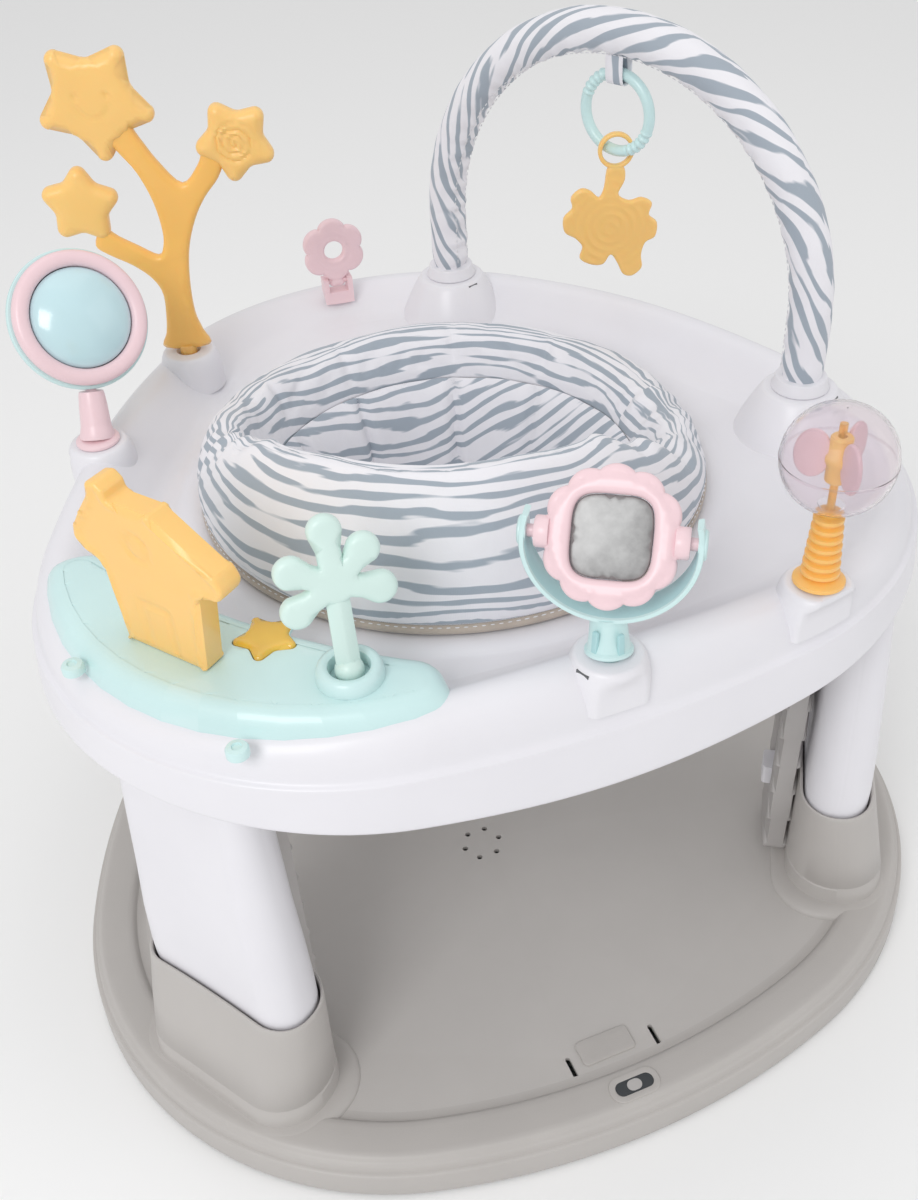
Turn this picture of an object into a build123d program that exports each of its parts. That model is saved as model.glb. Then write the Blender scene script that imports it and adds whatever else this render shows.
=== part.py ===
"""Baby activity jumper: a three-legged play tray on a floor ring, with a turning fabric seat and toys.

Frame: millimetres, +Z up, -Y towards the front. The origin is on the floor, in the middle of the
footprint of the base ring.
"""
from build123d import *
import math
import os

os.makedirs("parts", exist_ok=True)

# ---------------------------------------------------------------- driving dimensions
CORNERS = (90, 210, 330)              # azimuths of the three rounded corners, in degrees

BASE_CORNER_OFFSET = 112.0            # corner arc centres lie this far from the base centre
BASE_CORNER_ROUND = 287.0             # radius of each corner arc
BASE_SIDE_ROUND = 640.0               # radius of each long side arc
BASE_BOTTOM = 2.0                     # the ring stands on thin rubber feet
BASE_TOP = 40.0                       # height of the flat band round the base
BAND_INSET = 41.0                     # the band's inner edge, measured in from the base outline
FLOOR_TOP = 34.0
FLOOR_THICK = 4.0

TRAY_CORNER_OFFSET = 127.0
TRAY_CORNER_ROUND = 233.0
TRAY_SIDE_ROUND = 1042.0
TRAY_SETBACK = 16.0                   # the tray centre lies this far behind the base centre
SKIRT_BOTTOM = 350.0
DISH_FLOOR = 398.0
CREST = 428.0
WALL = 3.0
SOCKET_TOP = 438.0                    # top of the white toy sockets on the rim

LEGS = {"back": 90, "left": 213, "right": 327}      # azimuth of each leg from the base centre
LEG_INNER = 296.0                     # radius of the flat inner face of a leg
LEG_DEPTH = 52.0
LEG_WIDTH = 148.0
LEG_TOP_WIDTH = 106.0
LEG_TOP_DEPTH = 38.0
LEG_TOP_ROUND = 17.0
LEG_BOTTOM = 70.0
LEG_TOP = 385.0
COLLAR_TOP = 150.0                    # mouth of the grey leg socket
HEIGHT_TRAVEL = 70.0                  # three heights, 35 mm apart
BOUNCE_TRAVEL = 25.0

SEAT_HOLE = 172.0
SEAT_BACK_AZIMUTH = 262               # the high side of the seat
SEAT_CREST = 498.0
SEAT_LOW_CREST = 452.0

ARCH_AZIMUTH = 28
ARCH_REACH = 218.0                    # from the tray centre to the middle of the arch
ARCH_HALF_SPAN = 184.0
ARCH_STRAIGHT = 60.0
SLEEVE_RADIUS = 17.0
ARCH_TUBE_RADIUS = 8.5

GAP = 0.4                             # clearance between pieces that move past each other


# ---------------------------------------------------------------- helpers
def polar(radius, azimuth, centre=(0.0, 0.0)):
    """A point in the floor plane at a radius and azimuth from a centre."""
    angle = math.radians(azimuth)
    return (centre[0] + radius * math.cos(angle), centre[1] + radius * math.sin(angle))


def side_centre_offset(corner_offset, corner_round, side_round):
    """How far a side arc's centre lies beyond the middle of a rounded triangle."""
    reach = side_round - corner_round
    across = corner_offset * math.sin(math.radians(60))
    return math.sqrt(reach**2 - across**2) - corner_offset * math.cos(math.radians(60))


def rounded_triangle(centre, corner_offset, corner_round, side_round, inset, height):
    """A level face bounded by three corner arcs and three side arcs."""
    offset_back = side_centre_offset(corner_offset, corner_round, side_round)
    corner_r = corner_round - inset
    side_r = side_round - inset

    def tangent_point(corner, side):
        cx, cy = polar(corner_offset, corner)
        sx, sy = polar(offset_back, side + 180)
        length = math.hypot(cx - sx, cy - sy)
        return (centre[0] + cx + corner_r * (cx - sx) / length,
                centre[1] + cy + corner_r * (cy - sy) / length)

    with BuildSketch(Plane.XY.offset(height)) as outline:
        with BuildLine():
            for corner in CORNERS:
                start = tangent_point(corner, corner - 60)
                end = tangent_point(corner, corner + 60)
                following = tangent_point(corner + 120, corner + 60)
                ThreePointArc(start, polar(corner_offset + corner_r, corner, centre), end)
                ThreePointArc(end, polar(side_r - offset_back, corner + 60, centre), following)
        make_face()
    return outline.sketch


base_side_reach = BASE_SIDE_ROUND - side_centre_offset(
    BASE_CORNER_OFFSET, BASE_CORNER_ROUND, BASE_SIDE_ROUND)
BASE_Y = (base_side_reach - BASE_CORNER_OFFSET - BASE_CORNER_ROUND) / 2
BASE_CENTRE = (0.0, BASE_Y)
TRAY_CENTRE = (0.0, BASE_Y + TRAY_SETBACK)


def base_face(inset, height):
    return rounded_triangle(BASE_CENTRE, BASE_CORNER_OFFSET, BASE_CORNER_ROUND, BASE_SIDE_ROUND,
                            inset, height)


def tray_face(inset, height):
    return rounded_triangle(TRAY_CENTRE, TRAY_CORNER_OFFSET, TRAY_CORNER_ROUND, TRAY_SIDE_ROUND,
                            inset, height)


def stack(face, sections):
    """Faces of one outline at each (inset, height), ready for a loft."""
    return [face(inset, height) for inset, height in sections]


def leg_plane(azimuth, height, radius=0.0):
    """A level plane whose X axis points outwards along a leg's azimuth."""
    x, y = polar(radius, azimuth, BASE_CENTRE)
    ux, uy = polar(1.0, azimuth)
    return Plane(origin=(x, y, height), x_dir=(ux, uy, 0), z_dir=(0, 0, 1))


def facing(point, azimuth, lean=0.0):
    """A plane at a point that faces an azimuth and leans back; its Y axis runs up the face."""
    ux, uy = polar(1.0, azimuth)
    tilt = math.radians(lean)
    normal = (ux * math.cos(tilt), uy * math.cos(tilt), math.sin(tilt))
    return Plane(origin=point, x_dir=(-uy, ux, 0), z_dir=normal)


def shifted(plane, x, y, z, turn=(0, 0, 0)):
    """A plane moved along its own axes, then turned about them."""
    return Plane(plane.location * Location((x, y, z), turn))


def save(builder, name):
    """Label a finished piece and write its STEP file."""
    builder.part.label = name
    export_step(builder.part, f"parts/{name}.step")


def washer(inner, outer, height, centre=TRAY_CENTRE):
    """A level face between two circles."""
    with BuildSketch(Plane.XY.offset(height)) as face:
        with Locations(centre):
            Circle(outer)
            if inner > 0:
                Circle(inner, mode=Mode.SUBTRACT)
    return face.sketch


def rounded_box(plane, depth, width, rounding):
    """A face with rounded corners on a plane."""
    with BuildSketch(plane) as face:
        RectangleRounded(depth, width, rounding)
    return face.sketch


def star(plane, tip, notch, turn, rounding):
    """A five-pointed star with rounded tips and notches on a plane."""
    points = []
    for k in range(5):
        points.append(polar(tip, turn + 72 * k))
        points.append(polar(notch, turn + 36 + 72 * k))
    with BuildSketch(plane) as face:
        Polygon(*points, align=None)
        fillet(face.vertices(), rounding)
    return face.sketch


# ---------------------------------------------------------------- base
PAD_RADIUS = 334.0                    # middle of each leg pad on the base
PAD_DEPTH = 96.0
PAD_WIDTH = 178.0
PAD_ROUND = 44.0
SWITCH_SPOT = (-6.0, BASE_Y - base_side_reach + 24.0)
TAB_X = -6.0
TAB_WIDTH = 74.0
SPEAKER_SPOT = (-20.0, -79.0)


def leg_pads(margin, height):
    """Faces of the rounded pad under each leg, grown by a margin."""
    return [rounded_box(leg_plane(azimuth, height, PAD_RADIUS), PAD_DEPTH + 2 * margin,
                        PAD_WIDTH + 2 * margin, PAD_ROUND + margin) for azimuth in LEGS.values()]


with BuildPart() as base_ring:
    loft(stack(base_face, [(0, BASE_BOTTOM), (2, 28)]), ruled=True)
    loft(stack(base_face, [(5, 28), (6, 36), (10, BASE_TOP)]), ruled=True)
    extrude(base_face(BAND_INSET, 0), amount=BASE_TOP, mode=Mode.SUBTRACT)
    for pad in leg_pads(0, BASE_BOTTOM):
        extrude(pad, amount=BASE_TOP - BASE_BOTTOM)
    with BuildSketch() as band_core:
        add(base_face(10, 0))
        add(base_face(BAND_INSET - WALL, 0), mode=Mode.SUBTRACT)
    extrude(amount=BASE_TOP - WALL, mode=Mode.SUBTRACT)
    for pad in leg_pads(-WALL, 0):
        extrude(pad, amount=BASE_TOP - WALL, mode=Mode.SUBTRACT)
    with BuildSketch(Plane.XY.offset(BASE_TOP - 2)):
        with Locations(SWITCH_SPOT):
            SlotOverall(36, 13)
    extrude(amount=2, mode=Mode.SUBTRACT)
    with BuildSketch(Plane.XY.offset(BASE_TOP - 6)):
        with Locations(SWITCH_SPOT):
            SlotOverall(28, 6)
    extrude(amount=6, mode=Mode.SUBTRACT)
save(base_ring, "base_ring")

with BuildPart() as floor_panel:
    with BuildSketch(Plane.XY.offset(FLOOR_TOP - FLOOR_THICK)):
        add(base_face(BAND_INSET + 1, FLOOR_TOP - FLOOR_THICK))
        for slit_x in (TAB_X - TAB_WIDTH / 2, TAB_X + TAB_WIDTH / 2):
            with Locations((slit_x, SWITCH_SPOT[1] + 32)):
                SlotOverall(26, 4, rotation=90, mode=Mode.SUBTRACT)
        with Locations(SPEAKER_SPOT):
            with PolarLocations(17, 6):
                Circle(2.6, mode=Mode.SUBTRACT)
    extrude(amount=FLOOR_THICK)
    with BuildSketch(Plane.XY.offset(BASE_BOTTOM)):
        add(base_face(BAND_INSET + 3, 0))
        add(base_face(BAND_INSET + 6, 0), mode=Mode.SUBTRACT)
    extrude(amount=FLOOR_TOP - FLOOR_THICK - BASE_BOTTOM)
    for pad in leg_pads(1, 0):
        extrude(pad, amount=BASE_TOP, mode=Mode.SUBTRACT)
save(floor_panel, "floor_panel")

with BuildPart() as rubber_feet:
    for corner in CORNERS:
        for side_step in (-30, 30):
            with BuildSketch():
                with Locations(polar(BASE_CORNER_OFFSET + BASE_CORNER_ROUND - 5.5, corner + side_step / 10,
                                     BASE_CENTRE)):
                    Circle(3)
            extrude(amount=BASE_BOTTOM)
save(rubber_feet, "rubber_feet")

# Sound unit under the floor panel: housing, speaker, circuit board, cells and a door below.
UNIT_BOTTOM = 4.0
UNIT_TOP = 28.0
UNIT_LENGTH = 120.0
UNIT_WIDTH = 96.0
unit_centre = Plane(origin=(SPEAKER_SPOT[0], SPEAKER_SPOT[1] - 14, UNIT_BOTTOM))

with BuildPart() as sound_housing:
    extrude(rounded_box(unit_centre, UNIT_LENGTH, UNIT_WIDTH, 10), amount=UNIT_TOP - UNIT_BOTTOM)
    extrude(rounded_box(unit_centre.offset(2), UNIT_LENGTH - 5, UNIT_WIDTH - 5, 8),
            amount=UNIT_TOP, mode=Mode.SUBTRACT)
    extrude(rounded_box(unit_centre.offset(-1).move(Location((0, -20, 0))), 68, 40, 4),
            amount=5, mode=Mode.SUBTRACT)
save(sound_housing, "sound_housing")

with BuildPart() as battery_door:
    extrude(rounded_box(unit_centre.move(Location((0, -20, 0))), 67, 39, 3.5), amount=2)
save(battery_door, "battery_door")

with BuildPart() as battery_cells:
    for row in (-15, 0, 15):
        cell_end = (SPEAKER_SPOT[0] - 25, SPEAKER_SPOT[1] - 34 + row * 0.97, UNIT_BOTTOM + 10)
        with BuildSketch(Plane(origin=cell_end, z_dir=(1, 0, 0))):
            Circle(7)
        extrude(amount=48)
        with BuildSketch(Plane(origin=(cell_end[0] + 48, cell_end[1], cell_end[2]), z_dir=(1, 0, 0))):
            Circle(2.5)
        extrude(amount=1.5)
save(battery_cells, "battery_cells")

with BuildPart() as speaker:
    speaker_base = Plane(origin=(SPEAKER_SPOT[0], SPEAKER_SPOT[1], UNIT_BOTTOM + 10))
    with BuildSketch(speaker_base):
        Circle(11)
    extrude(amount=6)
    with BuildSketch(speaker_base.offset(6)):
        Circle(11)
    with BuildSketch(speaker_base.offset(14)):
        Circle(23)
    loft()
    with BuildSketch(speaker_base.offset(12)):
        Circle(19)
    extrude(amount=3, mode=Mode.SUBTRACT)
save(speaker, "speaker")

with BuildPart() as circuit_board:
    board_plane = Plane(origin=(SPEAKER_SPOT[0], SPEAKER_SPOT[1] + 8, UNIT_BOTTOM + 3.5))
    extrude(rounded_box(board_plane, 70, 38, 2), amount=1.6)
    for chip_x, chip_size in ((-20, 9), (2, 14), (24, 7)):
        with BuildSketch(board_plane.offset(1.6)):
            with Locations((chip_x, 0)):
                Rectangle(chip_size, chip_size)
        extrude(amount=2)
save(circuit_board, "circuit_board")

with BuildPart() as power_switch:
    with BuildSketch(Plane.XY.offset(BASE_TOP - 1.6)):
        with Locations(SWITCH_SPOT):
            SlotOverall(12, 9)
    extrude(amount=2.6)
    with BuildSketch(Plane.XY.offset(BASE_TOP - 8)):
        with Locations(SWITCH_SPOT):
            Rectangle(5, 5)
    extrude(amount=7)
save(power_switch, "power_switch")

# ---------------------------------------------------------------- legs
POST_INNER = 270.0                    # the grey post that the leg slides along, inside of the leg
POST_TOP = 335.0
POST_WIDTH = 70.0
SLOT_WIDTH = 28.0
LOCK_HEIGHT = 116.0                   # middle of the height lock at the lowest setting
LOCK_SIZE = 20.0
leg_middle = LEG_INNER + LEG_DEPTH / 2
leg_top_middle = LEG_INNER + LEG_TOP_DEPTH / 2
post_depth = LEG_INNER - 4 - POST_INNER
post_middle = POST_INNER + post_depth / 2

for side, azimuth in LEGS.items():
    with BuildPart() as leg_socket:
        foot = rounded_box(leg_plane(azimuth, BASE_TOP, PAD_RADIUS - 1.5), 84, 168, 40)
        seam = rounded_box(leg_plane(azimuth, 58, PAD_RADIUS - 3), 80, 164, 38)
        mouth = rounded_box(leg_plane(azimuth, COLLAR_TOP, leg_middle), 60, 156, 28)
        loft([foot, seam, mouth], ruled=True)
        extrude(rounded_box(leg_plane(azimuth, BASE_TOP, post_middle), post_depth, POST_WIDTH, 4),
                amount=POST_TOP - BASE_TOP)
        extrude(rounded_box(leg_plane(azimuth, BASE_TOP + WALL, leg_middle), LEG_DEPTH + 2,
                            LEG_WIDTH + 2, 25), amount=COLLAR_TOP, mode=Mode.SUBTRACT)
        extrude(rounded_box(leg_plane(azimuth, BASE_TOP, post_middle), post_depth - 6,
                            POST_WIDTH - 8, 2), amount=POST_TOP - BASE_TOP - WALL, mode=Mode.SUBTRACT)
        with Locations(leg_plane(azimuth, LOCK_HEIGHT - LOCK_SIZE, POST_INNER - 10)):
            Box(60, SLOT_WIDTH, LOCK_SIZE * 1.5 + HEIGHT_TRAVEL + 6,
                align=(Align.MIN, Align.CENTER, Align.MIN), mode=Mode.SUBTRACT)
    save(leg_socket, f"leg_socket_{side}")

    with BuildPart() as leg:
        low = rounded_box(leg_plane(azimuth, LEG_BOTTOM, leg_middle), LEG_DEPTH, LEG_WIDTH, 24)
        extrude(low, amount=160 - LEG_BOTTOM)
        loft([rounded_box(leg_plane(azimuth, 160, leg_middle), LEG_DEPTH, LEG_WIDTH, 24),
              rounded_box(leg_plane(azimuth, LEG_TOP, leg_top_middle), LEG_TOP_DEPTH,
                          LEG_TOP_WIDTH, LEG_TOP_ROUND)])
        extrude(rounded_box(leg_plane(azimuth, LEG_BOTTOM, leg_middle), LEG_DEPTH - 2 * WALL,
                            LEG_WIDTH - 2 * WALL, 21), amount=160 - LEG_BOTTOM, mode=Mode.SUBTRACT)
        with Locations(leg_plane(azimuth, 160, leg_middle)):
            Cylinder(15, 30, align=(Align.CENTER, Align.CENTER, Align.MIN), mode=Mode.SUBTRACT)
        loft([rounded_box(leg_plane(azimuth, 196, leg_middle - 1), LEG_DEPTH - 9,
                          LEG_WIDTH - 12, 18),
              rounded_box(leg_plane(azimuth, LEG_TOP, leg_top_middle), LEG_TOP_DEPTH - 6,
                          LEG_TOP_WIDTH - 6, LEG_TOP_ROUND - 3)], mode=Mode.SUBTRACT)
        with Locations(leg_plane(azimuth, LEG_BOTTOM, LEG_INNER - 5)):
            Box(10, SLOT_WIDTH + 2, LOCK_HEIGHT + LOCK_SIZE / 2 + BOUNCE_TRAVEL + 6 - LEG_BOTTOM,
                align=(Align.MIN, Align.CENTER, Align.MIN), mode=Mode.SUBTRACT)
    save(leg, f"leg_{side}")

    with BuildPart() as carriage:
        with Locations(leg_plane(azimuth, LOCK_HEIGHT - 14, leg_middle)):
            Box(LEG_DEPTH - 10, 60, 28, align=(Align.CENTER, Align.CENTER, Align.MIN))
        with Locations(leg_plane(azimuth, LOCK_HEIGHT - LOCK_SIZE / 2, POST_INNER + 18)):
            Box(20, SLOT_WIDTH - 4, LOCK_SIZE, align=(Align.MIN, Align.CENTER, Align.MIN))
    save(carriage, f"height_carriage_{side}")

    with BuildPart() as lock_button:
        with Locations(leg_plane(azimuth, LOCK_HEIGHT - LOCK_SIZE / 2, POST_INNER - 7)):
            Box(20, SLOT_WIDTH - 6, LOCK_SIZE, align=(Align.MIN, Align.CENTER, Align.MIN))
        fillet(lock_button.edges().filter_by(Axis.Z), 3)
    save(lock_button, f"height_lock_{side}")

SPRING_BOTTOM = LOCK_HEIGHT + 14
SPRING_TOP = 190.0
with BuildPart() as bounce_springs:
    for azimuth in LEGS.values():
        with BuildSketch(leg_plane(azimuth, SPRING_BOTTOM, leg_middle)):
            Circle(11)
            Circle(8, mode=Mode.SUBTRACT)
        extrude(amount=SPRING_TOP - SPRING_BOTTOM)
save(bounce_springs, "bounce_springs")

# ---------------------------------------------------------------- tray
STAR_TREE_SPOT = (-157.0, 226.0)
DOME_SPOT = (-256.0, 108.0)
FLOWER_SPOT = (5.0, 305.0)
BALL_SPOT = (149.0, -281.0)
MIRROR_SPOT = (-5.0, -284.0)
arch_middle = polar(ARCH_REACH, ARCH_AZIMUTH, TRAY_CENTRE)
ARCH_FEET = {
    "back": polar(ARCH_HALF_SPAN, ARCH_AZIMUTH + 90, arch_middle),
    "right": polar(ARCH_HALF_SPAN, ARCH_AZIMUTH - 90, arch_middle),
}
RELEASE_AZIMUTHS = {"back": 290, "right": 300, "mirror": 200}
PLUG_HOLE = 9.4
ARCH_PLUG_HOLE = 12.4
BOSS_RADIUS = 21.0
ARCH_BOSS_RADIUS = 28.0
DISH = [(36, CREST + 2), (38, CREST - 1), (52, 417), (66, 405), (80, DISH_FLOOR)]

with BuildPart() as tray_envelope:
    loft(stack(tray_face, [(0, SKIRT_BOTTOM), (3, 392), (7, 394), (9, 409), (15, 422), (26, CREST)]),
         ruled=True)
    loft(stack(tray_face, DISH), ruled=True, mode=Mode.SUBTRACT)

with BuildPart() as rim_hollow:
    loft(stack(tray_face, [(3, SKIRT_BOTTOM - 1), (6, 392), (10, 394), (12, 407), (18, 419), (28, 425)]),
         ruled=True)
    loft(stack(tray_face, [(33, CREST + 3), (35, CREST - 3), (49, 414), (63, 402),
                           (77, DISH_FLOOR - WALL)]), ruled=True, mode=Mode.SUBTRACT)

boss_spots = [STAR_TREE_SPOT, DOME_SPOT, BALL_SPOT, MIRROR_SPOT]
with BuildPart() as tray_top:
    add(tray_envelope.part)
    add(rim_hollow.part, mode=Mode.SUBTRACT)
    with BuildSketch(Plane.XY.offset(DISH_FLOOR)):
        with Locations(*boss_spots):
            Circle(BOSS_RADIUS)
        with Locations(*ARCH_FEET.values()):
            Circle(ARCH_BOSS_RADIUS)
    extrude(amount=SOCKET_TOP - DISH_FLOOR)
    with BuildSketch(Plane.XY.offset(DISH_FLOOR + 2)):
        with Locations(*boss_spots):
            Circle(PLUG_HOLE)
        with Locations(*ARCH_FEET.values()):
            Circle(ARCH_PLUG_HOLE)
    extrude(amount=SOCKET_TOP, mode=Mode.SUBTRACT)
    with BuildSketch(Plane.XY.offset(DISH_FLOOR - 10)):
        with Locations(TRAY_CENTRE):
            Circle(SEAT_HOLE)
    extrude(amount=60, mode=Mode.SUBTRACT)
    for foot, spot in ARCH_FEET.items():
        with Locations(facing((*polar(ARCH_BOSS_RADIUS, RELEASE_AZIMUTHS[foot], spot), SOCKET_TOP - 5),
                              RELEASE_AZIMUTHS[foot])):
            Box(11, 7, 14, mode=Mode.SUBTRACT)
    with Locations(facing((*polar(BOSS_RADIUS, RELEASE_AZIMUTHS["mirror"], MIRROR_SPOT), SOCKET_TOP - 6),
                          RELEASE_AZIMUTHS["mirror"])):
        Box(11, 7, 14, mode=Mode.SUBTRACT)
save(tray_top, "tray_top")

for foot, (spot, radius, drop) in {
        "back": (ARCH_FEET["back"], ARCH_BOSS_RADIUS, 5),
        "right": (ARCH_FEET["right"], ARCH_BOSS_RADIUS, 5),
        "mirror": (MIRROR_SPOT, BOSS_RADIUS, 6)}.items():
    with BuildPart() as release_button:
        azimuth = RELEASE_AZIMUTHS[foot]
        seat = (*polar(radius - 3, azimuth, spot), SOCKET_TOP - drop)
        with Locations(facing(seat, azimuth)):
            Box(10, 6, 6, align=(Align.CENTER, Align.CENTER, Align.MIN))
    save(release_button, f"release_button_{foot}")

with BuildPart() as tray_frame:
    extrude(tray_face(8, LEG_TOP), amount=3)
    extrude(washer(0, SEAT_HOLE, LEG_TOP), amount=3, mode=Mode.SUBTRACT)
    with BuildSketch(Plane.XY.offset(LEG_TOP)):
        with Locations(TRAY_CENTRE):
            with PolarLocations(205, 9):
                Circle(2.3)
    extrude(amount=3, mode=Mode.SUBTRACT)
save(tray_frame, "tray_frame")

with BuildPart() as tray_screws:
    with BuildSketch(Plane.XY.offset(LEG_TOP)):
        with Locations(TRAY_CENTRE):
            with PolarLocations(205, 9):
                Circle(2)
    extrude(amount=DISH_FLOOR - WALL - LEG_TOP)
    with BuildSketch(Plane.XY.offset(LEG_TOP - 2.4)):
        with Locations(TRAY_CENTRE):
            with PolarLocations(205, 9):
                Circle(4)
    extrude(amount=2.4)
save(tray_screws, "tray_screws")

with BuildPart() as seat_track:
    extrude(washer(165, SEAT_HOLE - 0.3, 381), amount=20)
    extrude(washer(165, 181, DISH_FLOOR), amount=3)
save(seat_track, "seat_track")

# ---------------------------------------------------------------- seat
with BuildPart() as seat_ring:
    extrude(washer(158, 164.5, 372), amount=33)
    extrude(washer(158, 188, 402.5), amount=2.5)
save(seat_ring, "seat_ring")

with BuildPart() as seat_retainer:
    extrude(washer(164.5, 171, 374), amount=4)
save(seat_retainer, "seat_retainer")

with BuildPart() as seat_piping:
    extrude(washer(189, 199, 400.5), amount=9)
    fillet(seat_piping.edges().filter_by(GeomType.CIRCLE), 3)
save(seat_piping, "seat_piping")

seat_x = (-math.sin(math.radians(SEAT_BACK_AZIMUTH)), math.cos(math.radians(SEAT_BACK_AZIMUTH)), 0)
seat_profile = Plane(origin=(*TRAY_CENTRE, 0), x_dir=(1, 0, 0), z_dir=(0, -1, 0))
tilt = math.atan((SEAT_CREST - SEAT_LOW_CREST) / 300)
with BuildPart() as seat_cover:
    with BuildSketch(seat_profile):
        with BuildLine():
            Spline((199, 411), (196, 436), (184, 466), (166, 490), (150, 500), (132, 494), (118, 470),
                   (114, 440), (117, 408))
            Line((117, 408), (128, 408))
            Spline((128, 408), (126, 440), (130, 464), (140, 481), (150, 486), (158, 479), (172, 458),
                   (184, 434), (187, 411))
            Line((187, 411), (199, 411))
        make_face()
    revolve(axis=Axis((*TRAY_CENTRE, 0), (0, 0, 1)))
    slope = polar(math.sin(tilt), SEAT_BACK_AZIMUTH + 180)
    split(bisect_by=Plane(origin=(*TRAY_CENTRE, (SEAT_CREST + SEAT_LOW_CREST) / 2),
                          z_dir=(slope[0], slope[1], math.cos(tilt))), keep=Keep.BOTTOM)
save(seat_cover, "seat_cover")

LEG_HOLE_RADIUS = 41.0
LEG_HOLE_SPREAD = 56.0
with BuildPart() as seat_sling:
    with BuildSketch(seat_profile):
        with BuildLine():
            Spline((0, 246), (55, 254), (96, 290), (115, 345), (122, 405))
            Line((122, 405), (117, 405))
            Spline((117, 405), (110, 346), (92, 294), (53, 259), (0, 251))
            Line((0, 251), (0, 246))
        make_face()
    revolve(axis=Axis((*TRAY_CENTRE, 0), (0, 0, 1)))
    for side_sign in (-1, 1):
        hole = polar(18, SEAT_BACK_AZIMUTH + 180, TRAY_CENTRE)
        hole = (hole[0] + side_sign * LEG_HOLE_SPREAD * seat_x[0],
                hole[1] + side_sign * LEG_HOLE_SPREAD * seat_x[1])
        with BuildSketch(Plane.XY.offset(230)):
            with Locations(hole):
                Circle(LEG_HOLE_RADIUS)
        extrude(amount=90, mode=Mode.SUBTRACT)
save(seat_sling, "seat_sling")

with BuildPart() as sling_clips:
    for k in range(6):
        ux, uy = polar(1.0, SEAT_BACK_AZIMUTH + 30 + 60 * k)
        spot = Plane(origin=(TRAY_CENTRE[0] + 123 * ux, TRAY_CENTRE[1] + 123 * uy, 390),
                     x_dir=(ux, uy, 0), z_dir=(0, 0, 1))
        with Locations(spot):
            Box(34.4, 18, 9, align=(Align.MIN, Align.CENTER, Align.MIN))
save(sling_clips, "sling_clips")

# ---------------------------------------------------------------- arch and its hanging toys
arch_plane = facing((*arch_middle, SOCKET_TOP), ARCH_AZIMUTH)
COLLAR_HEIGHT = 8.0
with BuildPart() as arch_plugs:
    with BuildSketch(Plane.XY.offset(SOCKET_TOP - 22)):
        with Locations(*ARCH_FEET.values()):
            Circle(12)
    extrude(amount=22)
    with BuildSketch(Plane.XY.offset(SOCKET_TOP)):
        with Locations(*ARCH_FEET.values()):
            Circle(19)
    extrude(amount=COLLAR_HEIGHT)
save(arch_plugs, "arch_plugs")


def arch_path():
    """The centre line of the arch: two uprights joined by a half circle."""
    with BuildLine(arch_plane) as path:
        Line((-ARCH_HALF_SPAN, COLLAR_HEIGHT), (-ARCH_HALF_SPAN, ARCH_STRAIGHT))
        ThreePointArc((-ARCH_HALF_SPAN, ARCH_STRAIGHT), (0, ARCH_STRAIGHT + ARCH_HALF_SPAN),
                      (ARCH_HALF_SPAN, ARCH_STRAIGHT))
        Line((ARCH_HALF_SPAN, ARCH_STRAIGHT), (ARCH_HALF_SPAN, COLLAR_HEIGHT))
    return path.line


def arch_section(radius):
    """A round section at the foot of the arch's centre line."""
    start = polar(-ARCH_HALF_SPAN, ARCH_AZIMUTH + 90, arch_middle)
    with BuildSketch(Plane.XY.offset(SOCKET_TOP + COLLAR_HEIGHT)) as section:
        with Locations(start):
            Circle(radius)
    return section.sketch


with BuildPart() as arch_tube:
    sweep(arch_section(ARCH_TUBE_RADIUS), path=arch_path())
save(arch_tube, "arch_tube")

with BuildPart() as arch_sleeve:
    sweep(arch_section(SLEEVE_RADIUS), path=arch_path())
    sweep(arch_section(ARCH_TUBE_RADIUS + 0.3), path=arch_path(), mode=Mode.SUBTRACT)
save(arch_sleeve, "arch_sleeve")

RING_CENTRE = 184.0                   # height of the link ring's middle above the sockets
RING_RADIUS = 30.0
RING_THICK = 4.6
APEX_UNDERSIDE = ARCH_STRAIGHT + ARCH_HALF_SPAN - SLEEVE_RADIUS
with BuildPart() as toy_strap:
    strap_low = RING_CENTRE + RING_RADIUS - RING_THICK - 4.4
    with BuildSketch(arch_plane):
        with Locations((0, (APEX_UNDERSIDE + strap_low) / 2)):
            Rectangle(16, APEX_UNDERSIDE - strap_low - 0.5)
    extrude(amount=7, both=True)
    with BuildSketch(arch_plane):
        with Locations((0, (APEX_UNDERSIDE + strap_low) / 2)):
            Rectangle(20, APEX_UNDERSIDE - strap_low - 4)
    extrude(amount=5.6, both=True, mode=Mode.SUBTRACT)
save(toy_strap, "toy_strap")

with BuildPart() as link_ring:
    with BuildSketch(Plane(origin=arch_plane.from_local_coords((RING_RADIUS, RING_CENTRE, 0)),
                           z_dir=(0, 0, 1))):
        Circle(RING_THICK)
    ring_middle = arch_plane.from_local_coords((0, RING_CENTRE, 0))
    revolve(axis=Axis(ring_middle, arch_plane.z_dir))
save(link_ring, "link_ring")

TEETHER_AZIMUTH = 250
TEETHER_THICK = 6.0
TEETHER_LOOP = 14.8
TEETHER_HOLE = 11.3
TEETHER_PETALS = [(-30, -54, 12), (-24, -40, 9), (24, -50, 10), (26, -70, 11), (12, -100, 11),
                  (-20, -86, 9)]
loop_top = arch_plane.from_local_coords((0, RING_CENTRE - RING_RADIUS, 0))
teether_plane = facing((loop_top.X, loop_top.Y, loop_top.Z), TEETHER_AZIMUTH)
with BuildPart() as teether:
    with BuildSketch(teether_plane.offset(-TEETHER_THICK / 2)):
        with Locations((0, -62)):
            Ellipse(24, 34)
        for petal_x, petal_y, petal_r in TEETHER_PETALS:
            with Locations((petal_x, petal_y)):
                Circle(petal_r)
        Circle(TEETHER_LOOP)
        with Locations((0, -24)):
            Rectangle(14, 24)
        Circle(TEETHER_HOLE, mode=Mode.SUBTRACT)
    extrude(amount=TEETHER_THICK)
save(teether, "teether")

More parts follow.
